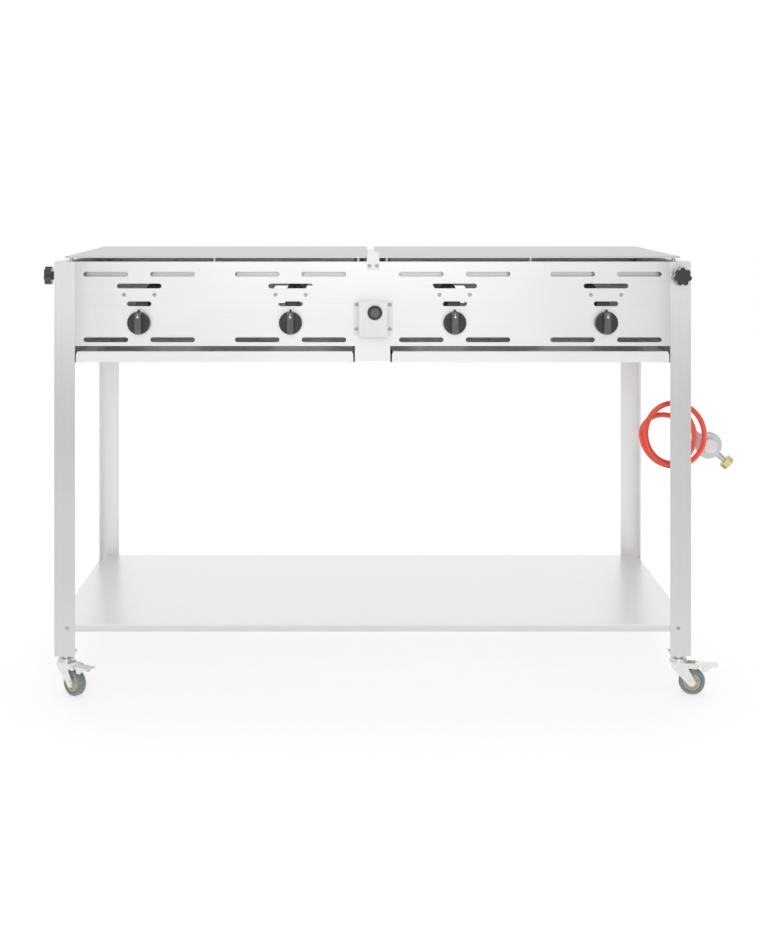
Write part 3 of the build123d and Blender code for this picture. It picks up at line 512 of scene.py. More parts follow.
def shaded_along(material, axis, stops):
    """Paints shade into a finish along an object axis; stops are (distance in metres, share of the
    light).
    """
    tree = material.node_tree
    if "Soft Shade" in tree.nodes:
        return material
    from_middle = add_math(tree, "ABSOLUTE", along_axis(tree, axis), 0.0)
    ramp = tree.nodes.new("ShaderNodeValToRGB")
    ramp.name = "Soft Shade"
    ramp.color_ramp.interpolation = "EASE"
    while len(ramp.color_ramp.elements) < len(stops):
        ramp.color_ramp.elements.new(1.0)
    for element, (distance, share) in zip(ramp.color_ramp.elements, stops):
        element.position = distance
        element.color = (share, share, share, 1.0)
    tree.links.new(from_middle, ramp.inputs["Fac"])
    mixed_in(tree, 1.0, ramp.outputs["Color"], "MULTIPLY")
    return material


def panel_steel():
    """Panel steel with painted shade and reflection: a little darker towards the legs, standing in for
    the legs' dark reflection.
    """
    material = brushed("Satin Panel Steel", tinted(finishes().steel, 1.01), "X")
    return shaded_along(material, "X", ((0.46, 1.0), (0.54, 0.95), (0.575, 0.84)))


def leg_steel():
    """Leg steel with painted shade: darkest at the middle of the leg, standing in for the room's
    reflection.
    """
    material = brushed("Satin Leg Steel", tinted(finishes().steel, 0.98), "Z")
    return shaded_along(material, "Z", ((0.10, 0.83), (0.25, 0.78), (0.50, 0.76), (0.80, 1.0)))


# Painted shade: the panels' steel, painted a little darker on the igniter bracket and centre clip.
def bracket_steel():
    return brushed("Bracket Steel", tinted(finishes().steel, 0.90), "Z", low=0.34, high=0.48)


# Painted light: the same steel as the front legs, painted paler.
def rear_leg_steel():
    return brushed("Rear Leg Steel", tinted(finishes().steel, 1.14), "Z", low=0.38, high=0.52)


def shelf_steel():
    """Shelf steel with painted shade: a shade darker on the folded lip."""
    colour = tinted(finishes().steel, 0.97)
    material = brushed("Shelf Steel", colour, "X", low=0.26, high=0.38, spread=0.03)
    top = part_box("bottom_shelf")[1][2]
    stops = zip([top - depth for depth in LIP_SHADE_DEPTHS], (0.86, 1.0))
    return shaded_along(material, "Z", tuple(stops))


def side_steel():
    return brushed("Side Wall Steel", finishes().steel, "Y")


def tray_steel():
    return brushed("Tray Steel", tinted(finishes().steel, 1.12), "X", low=0.22, high=0.34)


def plate_steel():
    colour = finishes().plate
    return brushed("Ground Plate Steel", colour, "X", low=0.36, high=0.52, contrast=0.7, spread=0.08)


def inner_steel():
    return moulded("Burner Steel", (0.30, 0.29, 0.28), 0.4, 0.65, spread=0.35, metallic=0.8)


def screw_steel():
    return moulded("Screw Steel", (0.55, 0.55, 0.54), 0.25, 0.4, metallic=1.0)


def brass():
    return moulded("Union Brass", (0.82, 0.68, 0.38), 0.25, 0.42, spread=0.12, metallic=1.0)


def zinc():
    return moulded("Zinc Plate", finishes().zinc, 0.22, 0.42, spread=0.10, wear=120.0, metallic=1.0)


def black_plastic():
    return moulded("Black Plastic", finishes().plastic, 0.16, 0.30, spread=0.3, bump=0.15, coat=0.6)


def button_plastic():
    colour = tinted(finishes().plastic, 4.0)
    return moulded("Button Plastic", colour, 0.25, 0.38, spread=0.2, bump=0.15)


def knob_plastic():
    """Dark plastic with painted light: the raised grip bar is painted paler than the skirt round it, as
    a painted highlight on the bar and painted shade on the skirt.
    """
    found = bpy.data.materials.get("Knob Plastic")
    if found:
        return found
    colour = tinted(finishes().plastic, 3.6)
    material = moulded("Knob Plastic", colour, 0.20, 0.34, spread=0.25, bump=0.15)
    tree = material.node_tree
    skirt_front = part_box("burner_knob_1")[1][1] - SKIRT_DEPTH
    # Painted shade: the skirt is painted darker than the grip bar.
    on_skirt = add_math(tree, "GREATER_THAN", along_axis(tree, "Y"), skirt_front)
    mixed_in(tree, on_skirt, (*tinted(finishes().plastic, 1.1), 1.0), "MIX")
    return material


def white_paint():
    return moulded("Pointer Paint", (0.85, 0.85, 0.84), 0.4, 0.5, spread=0.05)


def tyre_rubber():
    return moulded("Grey Tyre Rubber", finishes().tyre, 0.5, 0.7, spread=0.18, bump=0.3, wear=90.0)


def wheel_core():
    return moulded("Wheel Core", (0.62, 0.59, 0.44), 0.4, 0.55, spread=0.12, bump=0.15, wear=110.0)


def hose_rubber():
    return moulded(
        "Red Hose Rubber", hose_settings().colour, 0.20, 0.32, spread=0.06, grain=1500.0, wear=60.0,
        coat=0.5,
    )


def cast_alloy():
    return moulded("Cast Alloy", (0.66, 0.67, 0.68), 0.3, 0.46, spread=0.06, bump=0.35, metallic=0.7)


def white_plastic():
    return moulded("White Plastic", (0.84, 0.84, 0.83), 0.28, 0.4, spread=0.03)


def ceramic():
    return moulded("Ceramic", (0.82, 0.79, 0.72), 0.25, 0.4, spread=0.08)


def paint_nodes(nodes, material):
    """Gives CAD nodes a better material; their meshes aren't touched."""
    for name in nodes:
        piece = frame["nodes"][name]
        piece.data.materials.clear()
        piece.data.materials.append(material)


# ---- geometry node trees ----
def geometry_tree(name, sizes):
    """A geometry tree with its sizes, and a material, as named inputs."""
    inputs = (
        ("Geometry", "NodeSocketGeometry", None), *sizes, ("Material", "NodeSocketMaterial", None),
    )
    return new_tree(name, "GeometryNodeTree", inputs, (("Geometry", "NodeSocketGeometry"),))


def ending(tree, source, sink, instances):
    """Realize Instances and Set Material, as the last two nodes."""
    real = tree.nodes.new("GeometryNodeRealizeInstances")
    tree.links.new(instances, real.inputs["Geometry"])
    paint = tree.nodes.new("GeometryNodeSetMaterial")
    tree.links.new(real.outputs["Geometry"], paint.inputs["Geometry"])
    tree.links.new(source.outputs["Material"], paint.inputs["Material"])
    tree.links.new(paint.outputs["Geometry"], sink.inputs["Geometry"])


def facing_rotation(tree, attribute):
    """A rotation that turns +Z to a vector attribute of the points."""
    named = tree.nodes.new("GeometryNodeInputNamedAttribute")
    named.data_type = "FLOAT_VECTOR"
    named.inputs["Name"].default_value = attribute
    align = tree.nodes.new("FunctionNodeAlignRotationToVector")
    align.axis = "Z"
    tree.links.new(named.outputs["Attribute"], align.inputs["Vector"])
    return align.outputs["Rotation"]


def raised(tree, geometry, height):
    """The geometry moved up by a height."""
    lift = tree.nodes.new("ShaderNodeCombineXYZ")
    tree.links.new(height, lift.inputs["Z"])
    move = tree.nodes.new("GeometryNodeTransform")
    tree.links.new(geometry, move.inputs["Geometry"])
    tree.links.new(lift.outputs["Vector"], move.inputs["Translation"])
    return move.outputs["Geometry"]


def screw_tree():
    """Domed screw heads with a cross recess, one on each point."""
    tree, source, sink = geometry_tree(
        "Screw Heads",
        (("Head Radius", "NodeSocketFloat", 0.0037), ("Head Height", "NodeSocketFloat", 0.0022)),
    )
    radius, height = source.outputs["Head Radius"], source.outputs["Head Height"]
    half = add_math(tree, "MULTIPLY", height, 0.5)
    rim = tree.nodes.new("GeometryNodeMeshCylinder")
    dome = tree.nodes.new("GeometryNodeMeshCone")
    for solid, radius_label in ((rim, "Radius"), (dome, "Radius Bottom")):
        solid.inputs["Vertices"].default_value = HEAD_SIDES
        tree.links.new(radius, solid.inputs[radius_label])
        tree.links.new(half, solid.inputs["Depth"])
    tree.links.new(add_math(tree, "MULTIPLY", radius, DOME_SHARE), dome.inputs["Radius Top"])
    union = tree.nodes.new("GeometryNodeMeshBoolean")
    union.operation = "UNION"
    low = raised(tree, rim.outputs["Mesh"], add_math(tree, "MULTIPLY", half, 0.5))
    tree.links.new(low, union.inputs["Mesh 2"])
    tree.links.new(raised(tree, dome.outputs["Mesh"], half), union.inputs["Mesh 2"])
    head = union.outputs["Mesh"]
    for across, along in ((CROSS_WIDTH, CROSS_LENGTH), (CROSS_LENGTH, CROSS_WIDTH)):
        arm = tree.nodes.new("GeometryNodeMeshCube")
        arm.inputs["Size"].default_value = (across, along, CROSS_DEPTH)
        recess = raised(tree, arm.outputs["Mesh"], height)
        cut = tree.nodes.new("GeometryNodeMeshBoolean")
        cut.operation = "DIFFERENCE"
        tree.links.new(head, cut.inputs["Mesh 1"])
        tree.links.new(recess, cut.inputs["Mesh 2"])
        head = cut.outputs["Mesh"]
    on_points = tree.nodes.new("GeometryNodeInstanceOnPoints")
    tree.links.new(source.outputs["Geometry"], on_points.inputs["Points"])
    tree.links.new(head, on_points.inputs["Instance"])
    tree.links.new(facing_rotation(tree, "facing"), on_points.inputs["Rotation"])
    ending(tree, source, sink, on_points.outputs["Instances"])
    return tree


def rib_tree():
    """Half-round ribs round a circle, standing along the circle's axis."""
    tree, source, sink = geometry_tree(
        "Grip Ribs",
        (
            ("Count", "NodeSocketInt", 24),
            ("Ring Radius", "NodeSocketFloat", 0.02),
            ("Rib Radius", "NodeSocketFloat", 0.0008),
            ("Rib Length", "NodeSocketFloat", 0.006),
        ),
    )
    ring = tree.nodes.new("GeometryNodeMeshCircle")
    tree.links.new(source.outputs["Count"], ring.inputs["Vertices"])
    tree.links.new(source.outputs["Ring Radius"], ring.inputs["Radius"])
    rib = tree.nodes.new("GeometryNodeMeshCylinder")
    rib.inputs["Vertices"].default_value = RIB_SIDES
    tree.links.new(source.outputs["Rib Radius"], rib.inputs["Radius"])
    tree.links.new(source.outputs["Rib Length"], rib.inputs["Depth"])
    half = add_math(tree, "MULTIPLY", source.outputs["Rib Length"], 0.5)
    on_points = tree.nodes.new("GeometryNodeInstanceOnPoints")
    tree.links.new(ring.outputs["Mesh"], on_points.inputs["Points"])
    tree.links.new(raised(tree, rib.outputs["Mesh"], half), on_points.inputs["Instance"])
    ending(tree, source, sink, on_points.outputs["Instances"])
    return tree


def baked(tree, values, points=(), facings=(), place=Matrix.Identity(4)):
    """Runs a tree on loose points and returns its result as a plain mesh."""
    mesh = bpy.data.meshes.new("points")
    mesh.from_pydata([tuple(point) for point in points], [], [])
    if facings:
        facing = mesh.attributes.new("facing", "FLOAT_VECTOR", "POINT")
        facing.data.foreach_set("vector", [value for way in facings for value in way])
    holder = bpy.data.objects.new("holder", mesh)
    bpy.context.scene.collection.objects.link(holder)
    modifier = holder.modifiers.new("made", "NODES")
    modifier.node_group = tree
    for item in tree.interface.items_tree:
        if item.item_type == "SOCKET" and item.in_out == "INPUT" and item.name in values:
            modifier[item.identifier] = values[item.name]
    holder.update_tag()
    evaluated = holder.evaluated_get(bpy.context.evaluated_depsgraph_get())
    result = bpy.data.meshes.new_from_object(evaluated)
    holder.modifiers.remove(modifier)
    bpy.data.objects.remove(holder)
    bpy.data.meshes.remove(mesh)
    result.transform(place)
    smooth(result, 35.0)
    return result


# ---- gas hose ----
def coil_points(settings):
    """The loops' points, clockwise seen from the front, each loop a little larger."""
    points = []
    for step in range(settings.steps + 1):
        turn = COIL_START + settings.turns * step / settings.steps
        angle = -2 * math.pi * turn
        half_width = COIL_HALF_WIDTH + COIL_WIDENS * turn
        half_height = COIL_HALF_HEIGHT + COIL_HEIGHTENS * turn
        x = COIL_CENTRE[0] + COIL_DRIFT * turn + half_width * math.cos(angle)
        y = COIL_CENTRE[1] + settings.pitch * turn
        z = COIL_CENTRE[2] + half_height * math.sin(angle)
        points.append((x, y, z))
    return points


def regulator_line():
    """The regulator's middle and the way from it to its union nut."""
    joint = joint_named("union_nut_turn")
    way = Vector(joint["axis"])
    return Vector(joint["pos_m"]) - NUT_TO_MIDDLE * way, way


def hose_route(settings):
    middle, way = regulator_line()
    end = [tuple(middle - way * distance) for distance in HOSE_END]
    return [*HOSE_DROP, *coil_points(settings), *HOSE_TAIL, *end]


def hose_curve(settings, material):
    """The hose as one smooth open NURBS spline with a round section."""
    route = hose_route(settings)
    curve = bpy.data.curves.new("gas_hose", "CURVE")
    curve.dimensions = "3D"
    curve.resolution_u = 14
    curve.bevel_depth = settings.diameter / 2
    curve.bevel_resolution = 8
    curve.use_fill_caps = True
    spline = curve.splines.new("NURBS")
    spline.points.add(len(route) - 1)
    for point, place in zip(spline.points, route):
        point.co = (*place, 1.0)
    spline.order_u = 3
    spline.use_endpoint_u = True
    curve.materials.append(material)
    hose = bpy.data.objects.new("gas_hose", curve)
    bpy.context.scene.collection.objects.link(hose)
    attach(hose, "frame")
    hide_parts("hose_drop", "hose_coil", "hose_tail")
    return hose


def centreline(hose):
    """Points along the middle of the hose, read from its own spline."""
    bare = hose.data.copy()
    bare.bevel_depth = 0.0
    holder = bpy.data.objects.new("bare", bare)
    mesh = bpy.data.meshes.new_from_object(holder)
    points = [vertex.co.copy() for vertex in mesh.vertices]
    bpy.data.meshes.remove(mesh)
    bpy.data.objects.remove(holder)
    bpy.data.curves.remove(bare)
    return points


def length_of(points):
    return sum((after - before).length for before, after in zip(points, points[1:]))


def strap_outline(crossings, reach):
    """A rounded loop, in Y and Z, round points where the hose crosses the strap's plane."""
    outline = []
    for step in range(TIE_STEPS):
        angle = 2 * math.pi * step / TIE_STEPS
        way = Vector((math.cos(angle), math.sin(angle)))
        furthest = max(crossings, key=lambda point: point.dot(way))
        outline.append(furthest + way * reach)
    return outline


def tie_crossings(points, x, ceiling):
    """Where the hose crosses the tie's plane below a height, as (Y, Z)."""
    crossings = []
    for before, after in zip(points, points[1:]):
        if (before.x - x) * (after.x - x) <= 0 and before.z < ceiling:
            crossings.append(Vector((before.y, before.z)))
    return crossings


def tie_head(bm, x, outer):
    """The ratchet housing behind the strap, with the strap's short end hanging from it."""
    back = max(point.x for point in outer)
    level = sum(point.y for point in outer) / len(outer)
    front, rear = (back + depth for depth in TIE_HEAD_DEPTHS)
    low = (x - TIE_HEAD_HALF_WIDTH, front, level - TIE_HEAD_HALF_HEIGHT)
    high = (x + TIE_HEAD_HALF_WIDTH, rear, level + TIE_HEAD_HALF_HEIGHT)
    box_into(bm, low, high, TIE_HEAD_BEVEL)
    front, rear = (back + depth for depth in TIE_TAIL_DEPTHS)
    low = (x - TIE_HALF_WIDTH, front, level - TIE_TAIL_LENGTH)
    box_into(bm, low, (x + TIE_HALF_WIDTH, rear, level), TIE_TAIL_BEVEL)


def cable_tie(hose, material):
    """A ratchet tie pulled round the loops where they hang lowest."""
    middle = middle_of("hose_tie")
    crossings = tie_crossings(centreline(hose), middle.x, middle.z + TIE_SEARCH)
    radius = hose_settings().diameter / 2
    inner = strap_outline(crossings, radius + TIE_GAP)
    outer = strap_outline(crossings, radius + TIE_OUTER)
    left, right = middle.x - TIE_HALF_WIDTH, middle.x + TIE_HALF_WIDTH
    bm = bmesh.new()
    rings = []
    for inside, outside in zip(inner, outer):
        corners = ((left, inside), (left, outside), (right, outside), (right, inside))
        rings.append([bm.verts.new((x, point.x, point.y)) for x, point in corners])
    skin(bm, rings)
    tie_head(bm, middle.x, outer)
    mesh = mesh_from(bm, "cable_tie")
    return finished("cable_tie", mesh, "frame", material, ("hose_tie",))


def crimp_sleeve(name, start, end, radius, material, replaced):
    """A pressed sleeve with waisted bands, between two points on the hose."""
    way = end - start
    length = way.length
    outside = radius + SLEEVE_WALL
    waist = radius + SLEEVE_WALL * WAIST_SHARE
    outline = [(radius, 0.0), (outside, SLEEVE_EDGE)]
    for band in range(SLEEVE_BANDS):
        middle = length * (band + 0.5) / SLEEVE_BANDS
        wide, narrow = length * BAND_REACH, length * WAIST_REACH
        outline += [(outside, middle - wide), (waist, middle - narrow)]
        outline += [(waist, middle + narrow), (outside, middle + wide)]
    outline += [(outside, length - SLEEVE_EDGE), (radius, length)]
    bm = bmesh.new()
    lathe(bm, outline, 36, turned_to(way, start))
    return finished(name, mesh_from(bm, name), "frame", material, replaced)


class GRIDDLE_OT_hose(bpy.types.Operator):
    """Lays the gas hose with its tie and crimped sleeves."""

    bl_idname = "griddle.hose"
    bl_label = "Gas hose"

    def execute(self, context):
        settings = context.scene.griddle_hose
        hose = hose_curve(settings, hose_rubber())
        tie = cable_tie(hose, black_plastic())
        middle, way = regulator_line()
        top = Vector((*HOSE_EXIT[:2], INLET_SLEEVE_TOP))
        ends = {
            "inlet_sleeve": (top, top - Vector((0, 0, INLET_SLEEVE_LENGTH))),
            "regulator_sleeve": [middle - way * distance for distance in SLEEVE_ENDS],
        }
        sleeves = [
            crimp_sleeve(name, start, end, settings.diameter / 2, brass(), ("hose_clamps",))
            for name, (start, end) in ends.items()
        ]
        length_of(centreline(hose))
        return {"FINISHED"}


# ---- steelwork ----
class GRIDDLE_OT_steelwork(bpy.types.Operator):
    """Brushes the legs, panels, divider and shelf."""

    bl_idname = "griddle.steelwork"
    bl_label = "Steelwork"

    def execute(self, context):
        paint_nodes(["front_left_leg", "front_right_leg"], leg_steel())
        paint_nodes(["rear_left_leg", "rear_right_leg"], rear_leg_steel())
        paint_nodes(["front_panel", "back_panel"], panel_steel())
        paint_nodes(["igniter_bracket", "centre_clip"], bracket_steel())
        inner_walls = ["left_side_panel", "right_side_panel", "centre_divider", "tray_runners"]
        paint_nodes(inner_walls, side_steel())
        paint_nodes(["bottom_shelf"], shelf_steel())
        paint_nodes([f"drip_tray_{side}" for side in SIDES], tray_steel())
        paint_nodes([f"griddle_plate_{side}" for side in SIDES], plate_steel())
        return {"FINISHED"}


class GRIDDLE_OT_gas_train(bpy.types.Operator):
    """Finishes the burners, manifold, valves and electrodes."""

    bl_idname = "griddle.gas_train"
    bl_label = "Gas train"

    def execute(self, context):
        paint_nodes(["burner_tubes", "burner_brackets", "gas_manifold"], inner_steel())
        paint_nodes(["gas_valves", "gas_inlet"], brass())
        paint_nodes([f"valve_stem_{number}" for number in BURNERS], brass())
        paint_nodes(["ignition_electrodes"], ceramic())
        return {"FINISHED"}


# ---- knobs ----
def knob_mark(number, material):
    """A painted pointer line and dot on a knob's grip bar."""
    low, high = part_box(f"burner_knob_{number}")
    x = (low[0] + high[0]) / 2
    front = low[1]
    z = joint_named(f"knob_{number}_turn")["pos_m"][2]
    bm = bmesh.new()
    lathe(bm, DOT_OUTLINE, 24, turned_to(FORWARD, (x, front, z + DOT_HEIGHT)))
    box_into(
        bm, (x - LINE_HALF_WIDTH, front - LINE_PROUD, z + LINE_LOW),
        (x + LINE_HALF_WIDTH, front + LINE_SUNK, z + LINE_HIGH), LINE_BEVEL,
    )
    name = f"knob_mark_{number}"
    return finished(name, mesh_from(bm, name), f"knob_{number}", material)


def grip_ribs(node, middle, count, rib, material):
    """Fine ribs round a turned part, standing forward from near its back face."""
    radius, length, inset = rib
    low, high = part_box(node)
    values = {
        "Count": count, "Ring Radius": (high[0] - low[0]) / 2 - RIB_SINK, "Rib Radius": radius,
        "Rib Length": length, "Material": material,
    }
    place = turned_to(FORWARD, (middle[0], high[1] - inset, middle[2]))
    return baked(shared_tree("Grip Ribs", rib_tree), values, place=place)


def knob_ribs(number, settings, material):
    """Fine grip ribs round a knob's skirt."""
    middle = joint_named(f"knob_{number}_turn")["pos_m"]
    mesh = grip_ribs(f"burner_knob_{number}", middle, settings.knob_ribs, KNOB_RIB, material)
    return finished(f"knob_ribs_{number}", mesh, f"knob_{number}", material)


class GRIDDLE_OT_knobs(bpy.types.Operator):
    """Finishes the burner knobs with grip ribs and painted pointers."""

    bl_idname = "griddle.knobs"
    bl_label = "Burner knobs"

    def execute(self, context):
        settings = context.scene.griddle_fasteners
        material = knob_plastic()
        paint_nodes([f"burner_knob_{number}" for number in BURNERS], material)
        for number in BURNERS:
            knob_mark(number, white_paint())
            knob_ribs(number, settings, material)
        return {"FINISHED"}


class GRIDDLE_OT_star_knobs(bpy.types.Operator):
    """Finishes the star knobs and the nuts behind them."""

    bl_idname = "griddle.star_knobs"
    bl_label = "Star knobs"

    def execute(self, context):
        paint_nodes([f"star_knob_{corner}" for corner in CORNERS], black_plastic())
        paint_nodes(["knob_nuts"], screw_steel())
        return {"FINISHED"}


class GRIDDLE_OT_igniter(bpy.types.Operator):
    """Finishes the igniter's collar and button."""

    bl_idname = "griddle.igniter"
    bl_label = "Igniter"

    def execute(self, context):
        paint_nodes(["igniter_body"], black_plastic())
        paint_nodes(["igniter_button"], button_plastic())
        return {"FINISHED"}


# ---- fasteners ----
def screw_places():
    """Where each screw head sits and which way it faces, from the CAD screws' own meshes."""
    mesh = frame["nodes"]["pan_head_screws"].data
    bm = bmesh.new()
    bm.from_mesh(mesh)
    bmesh.ops.remove_doubles(bm, verts=bm.verts, dist=MERGE_DISTANCE)
    left = set(bm.verts)
    places = []
    while left:
        island = {left.pop()}
        waiting = list(island)
        while waiting:
            vert = waiting.pop()
            for edge in vert.link_edges:
                other = edge.other_vert(vert)
                if other in left:
                    left.remove(other)
                    island.add(other)
                    waiting.append(other)
        places.append(head_of(island))
    bm.free()
    return sorted(places, key=lambda place: tuple(round(value, 4) for value in place[0]))


def head_of(verts):
    """A screw's seat and outward way: the head is the wide end of its long axis."""
    low = Vector([min(vert.co[axis] for vert in verts) for axis in range(3)])
    high = Vector([max(vert.co[axis] for vert in verts) for axis in range(3)])
    size = high - low
    axis = max(range(3), key=lambda index: size[index])
    middle = (low + high) / 2
    widest = max(verts, key=lambda vert: (vert.co - middle).length - abs((vert.co - middle)[axis]))
    sign = 1.0 if widest.co[axis] > middle[axis] else -1.0
    height = bpy.context.scene.griddle_fasteners.head_height
    seat = middle.copy()
    seat[axis] = (high[axis] if sign > 0 else low[axis]) - sign * height
    way = Vector((0, 0, 0))
    way[axis] = sign
    return seat, way


class GRIDDLE_OT_screws(bpy.types.Operator):
    """Makes every pan-head screw's head from one tree."""

    bl_idname = "griddle.screws"
    bl_label = "Screws"

    def execute(self, context):
        settings = context.scene.griddle_fasteners
        material = screw_steel()
        places = screw_places()
        values = {
            "Head Radius": settings.head_radius, "Head Height": settings.head_height,
            "Material": material,
        }
        seats = [seat for seat, way in places]
        ways = [way for seat, way in places]
        mesh = baked(shared_tree("Screw Heads", screw_tree), values, seats, ways)
        finished("screw_heads", mesh, "frame", material, ("pan_head_screws",))
        return {"FINISHED"}


# ---- castors ----
def tyre_outline(half):
    """A soft tyre with rounded shoulders and a shallow groove where it meets the core."""
    outline = [(TYRE_BORE, -half + BORE_SETBACK), (TYRE_LIP, -half + LIP_SETBACK)]
    outline += rounded(TYRE_WALL, TYRE_RADIUS, -half, half, TYRE_SHOULDER)
    outline += [(TYRE_LIP, half - LIP_SETBACK), (TYRE_BORE, half - BORE_SETBACK)]
    return outline


def core_outline(half):
    """A moulded core: hub, thin web and rim."""
    hub = [(AXLE_BORE, half + HUB_PROUD), (HUB_FACE, half + HUB_PROUD), (HUB_RADIUS, half)]
    inner, outer = (half - setback for setback in RIM_SETBACKS)
    rim = [(RIM_INSIDE, inner), (RIM_RADIUS, outer), (TYRE_BORE, outer)]
    side = [*hub, *WEB_PROFILE, *rim]
    return side + [(radius, -height) for radius, height in reversed(side)]


def wheel_piece(name, bm, smooth_angle, corner, material):
    mesh = mesh_from(bm, name, smooth_angle)
    return finished(
        name, mesh, f"wheel_{corner}", material, (f"castor_wheel_{corner}",)
    )


def castor_wheel(corner):
    """A tyre and its spoked core, turned round the axle."""
    half = WHEEL_HALF_WIDTH
    axle = joint_named(f"roll_{corner}")
    place = turned_to(axle["axis"], axle["pos_m"])
    tyre = bmesh.new()
    lathe(tyre, tyre_outline(half), 72, place)
    wheel_piece(f"tyre_{corner}", tyre, 50.0, corner, tyre_rubber())
    core = bmesh.new()
    lathe(core, core_outline(half), 64, place)
    low = (HUB_RADIUS, -SPOKE_HALF_WIDTH, -half + SPOKE_SETBACK)
    high = (RIM_RADIUS, SPOKE_HALF_WIDTH, half - SPOKE_SETBACK)
    for spoke in range(SPOKES):
        turn = Matrix.Rotation(2 * math.pi * spoke / SPOKES, 4, "Z")
        box_into(core, low, high, SPOKE_BEVEL, place @ turn)
    wheel_piece(f"wheel_core_{corner}", core, 35.0, corner, wheel_core())


class GRIDDLE_OT_castors(bpy.types.Operator):
    """Finishes the castors: plated forks and pedals, moulded cores and grey tyres."""

    bl_idname = "griddle.castors"
    bl_label = "Castors"

    def execute(self, context):
        plated = [f"castor_{part}_{corner}" for part in ("fork", "pedal") for corner in CORNERS]
        paint_nodes([*plated, "castor_stems"], zinc())
        for corner in CORNERS:
            castor_wheel(corner)
        return {"FINISHED"}


# ---- regulator ----
class GRIDDLE_OT_regulator(bpy.types.Operator):
    """Finishes the regulator, its ribbed cap and its union nut."""

    bl_idname = "griddle.regulator"
    bl_label = "Regulator"

    def execute(self, context):
        settings = context.scene.griddle_fasteners
        paint_nodes(["regulator_body"], cast_alloy())
        paint_nodes(["regulator_cap"], white_plastic())
        paint_nodes(["regulator_nut"], brass())
        middle = middle_of("regulator_cap")
        mesh = grip_ribs("regulator_cap", middle, settings.cap_ribs, CAP_RIB, white_plastic())
        finished("cap_ribs", mesh, "frame", white_plastic())
        return {"FINISHED"}


# ---- camera and stage ----
class GRIDDLE_OT_camera(bpy.types.Operator):
    """Sets the camera in front of the trolley, level, with its view shifted down."""

    bl_idname = "griddle.camera"
    bl_label = "Camera"

    def execute(self, context):
        settings = context.scene.griddle_stage
        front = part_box("front_right_leg")[0][1]
        data = bpy.data.cameras.new("camera")
        data.lens = settings.lens
        data.sensor_width = SENSOR_WIDTH
        data.shift_x, data.shift_y = CAMERA_SHIFT
        data.clip_end = 50.0
        camera = bpy.data.objects.new("camera", data)
        camera.location = (CAMERA_SIDE, front - settings.distance, settings.height)
        camera.rotation_euler = (math.radians(90), 0, 0)
        context.scene.collection.objects.link(camera)
        context.scene.camera = camera
        return {"FINISHED"}


def soft_light(name, place, target, size, power):
    """A large square area light aimed at a point."""
    data = bpy.data.lights.new(name, "AREA")
    data.size = size
    data.energy = power
    light = bpy.data.objects.new(name, data)
    light.location = place
    way = Vector(target) - Vector(place)
    light.rotation_euler = way.to_track_quat("-Z", "Y").to_euler()
    bpy.context.scene.collection.objects.link(light)
    return light


def floor_material(settings):
    """A pale floor that glows a little, so shadows on it stay faint."""
    material = bpy.data.materials.new("Studio Floor")
    material.use_nodes = True
    shader = material.node_tree.nodes["Principled BSDF"]
    shader.inputs["Base Color"].default_value = (*settings.floor, 1.0)
    shader.inputs["Roughness"].default_value = FLOOR_ROUGHNESS
    shader.inputs["Emission Color"].default_value = (1.0, 1.0, 1.0, 1.0)
    shader.inputs["Emission Strength"].default_value = settings.glow
    return material


def studio_sweep(settings):
    """A pale floor that curves up into a wall far behind."""
    outline = [(FLOOR_FRONT, 0.0), (FLOOR_BACK, 0.0)]
    for degrees in range(10, 91, 10):
        angle = math.radians(degrees)
        y = FLOOR_BACK + SWEEP_RADIUS * math.sin(angle)
        outline.append((y, SWEEP_RADIUS - SWEEP_RADIUS * math.cos(angle)))
    outline.append((FLOOR_BACK + SWEEP_RADIUS, WALL_TOP))
    bm = bmesh.new()
    ends = (-FLOOR_HALF_WIDTH, FLOOR_HALF_WIDTH)
    rows = [[bm.verts.new((x, y, z)) for x in ends] for y, z in outline]
    for here, after in zip(rows, rows[1:]):
        bm.faces.new((here[0], here[1], after[1], after[0]))
    mesh = bpy.data.meshes.new("studio_sweep")
    bm.to_mesh(mesh)
    bm.free()
    smooth(mesh, 60.0)
    mesh.materials.append(floor_material(settings))
    sweep = bpy.data.objects.new("studio_sweep", mesh)
    bpy.context.scene.collection.objects.link(sweep)
    return sweep


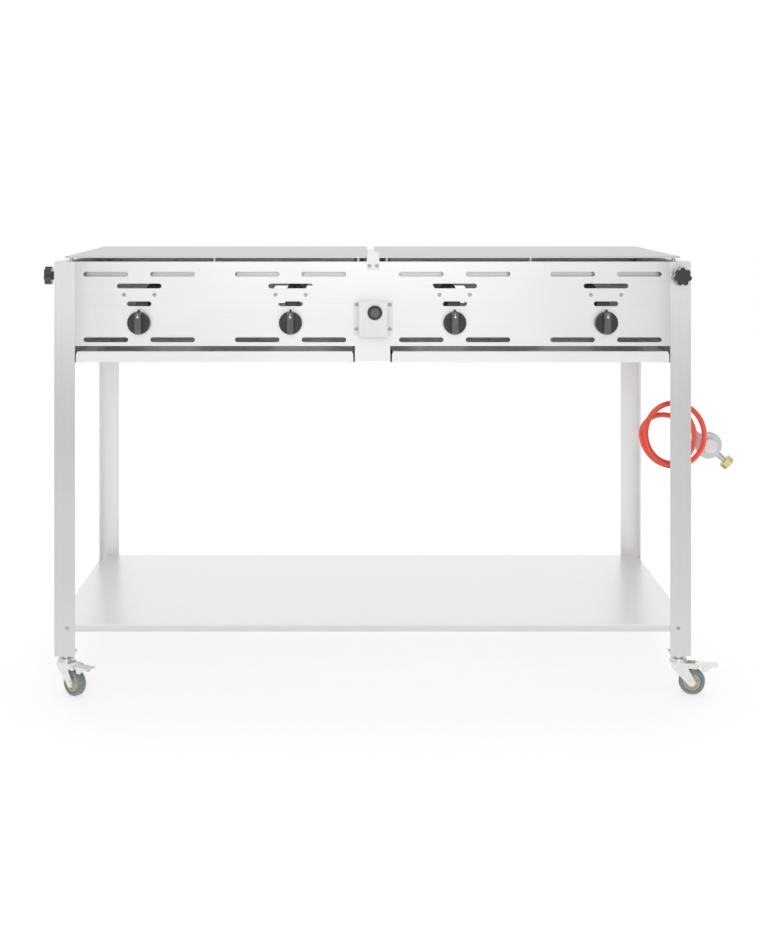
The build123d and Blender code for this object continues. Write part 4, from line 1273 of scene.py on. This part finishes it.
class GRIDDLE_OT_stage(bpy.types.Operator):
    """Lays the pale floor and hangs soft studio lights."""

    bl_idname = "griddle.stage"
    bl_label = "Stage"

    def execute(self, context):
        settings = context.scene.griddle_stage
        studio_sweep(settings)
        world = bpy.data.worlds.new("studio")
        world.use_nodes = True
        background = world.node_tree.nodes["Background"]
        background.inputs["Color"].default_value = (1.0, 1.0, 1.0, 1.0)
        background.inputs["Strength"].default_value = settings.daylight
        context.scene.world = world
        soft_light("key", KEY_PLACE, KEY_TARGET, KEY_SIZE, settings.key)
        soft_light("top", TOP_PLACE, TOP_TARGET, TOP_SIZE, settings.fill)
        context.scene.view_settings.view_transform = "Standard"
        return {"FINISHED"}


class GRIDDLE_PT_panel(bpy.types.Panel):
    """Shows the trolley's settings and operator buttons in the sidebar."""

    bl_idname = "GRIDDLE_PT_panel"
    bl_label = "Gas griddle trolley"
    bl_space_type = "VIEW_3D"
    bl_region_type = "UI"
    bl_category = "Griddle"

    def draw(self, context):
        for settings in SETTINGS:
            group = getattr(context.scene, settings)
            box = self.layout.box()
            for name in group.bl_rna.properties.keys():
                if name not in ("rna_type", "name"):
                    box.prop(group, name)
        for operator in OPERATORS:
            self.layout.operator(operator.bl_idname)


SETTINGS = {
    "griddle_hose": HoseSettings,
    "griddle_finish": FinishSettings,
    "griddle_fasteners": FastenerSettings,
    "griddle_stage": StageSettings,
}
OPERATORS = (
    GRIDDLE_OT_camera, GRIDDLE_OT_hose, GRIDDLE_OT_steelwork, GRIDDLE_OT_gas_train, GRIDDLE_OT_knobs,
    GRIDDLE_OT_star_knobs, GRIDDLE_OT_igniter, GRIDDLE_OT_screws, GRIDDLE_OT_castors,
    GRIDDLE_OT_regulator, GRIDDLE_OT_stage,
)


def register():
    for name, settings in SETTINGS.items():
        bpy.utils.register_class(settings)
        setattr(bpy.types.Scene, name, PointerProperty(type=settings))
    for shown in (*OPERATORS, GRIDDLE_PT_panel):
        bpy.utils.register_class(shown)


def unregister():
    for shown in reversed((*OPERATORS, GRIDDLE_PT_panel)):
        bpy.utils.unregister_class(shown)
    for name, settings in SETTINGS.items():
        delattr(bpy.types.Scene, name)
        bpy.utils.unregister_class(settings)


def main():
    register()
    for operator in OPERATORS:
        name = operator.bl_idname.split(".")[1]
        getattr(bpy.ops.griddle, name)()


if __name__ == "__main__":
    main()
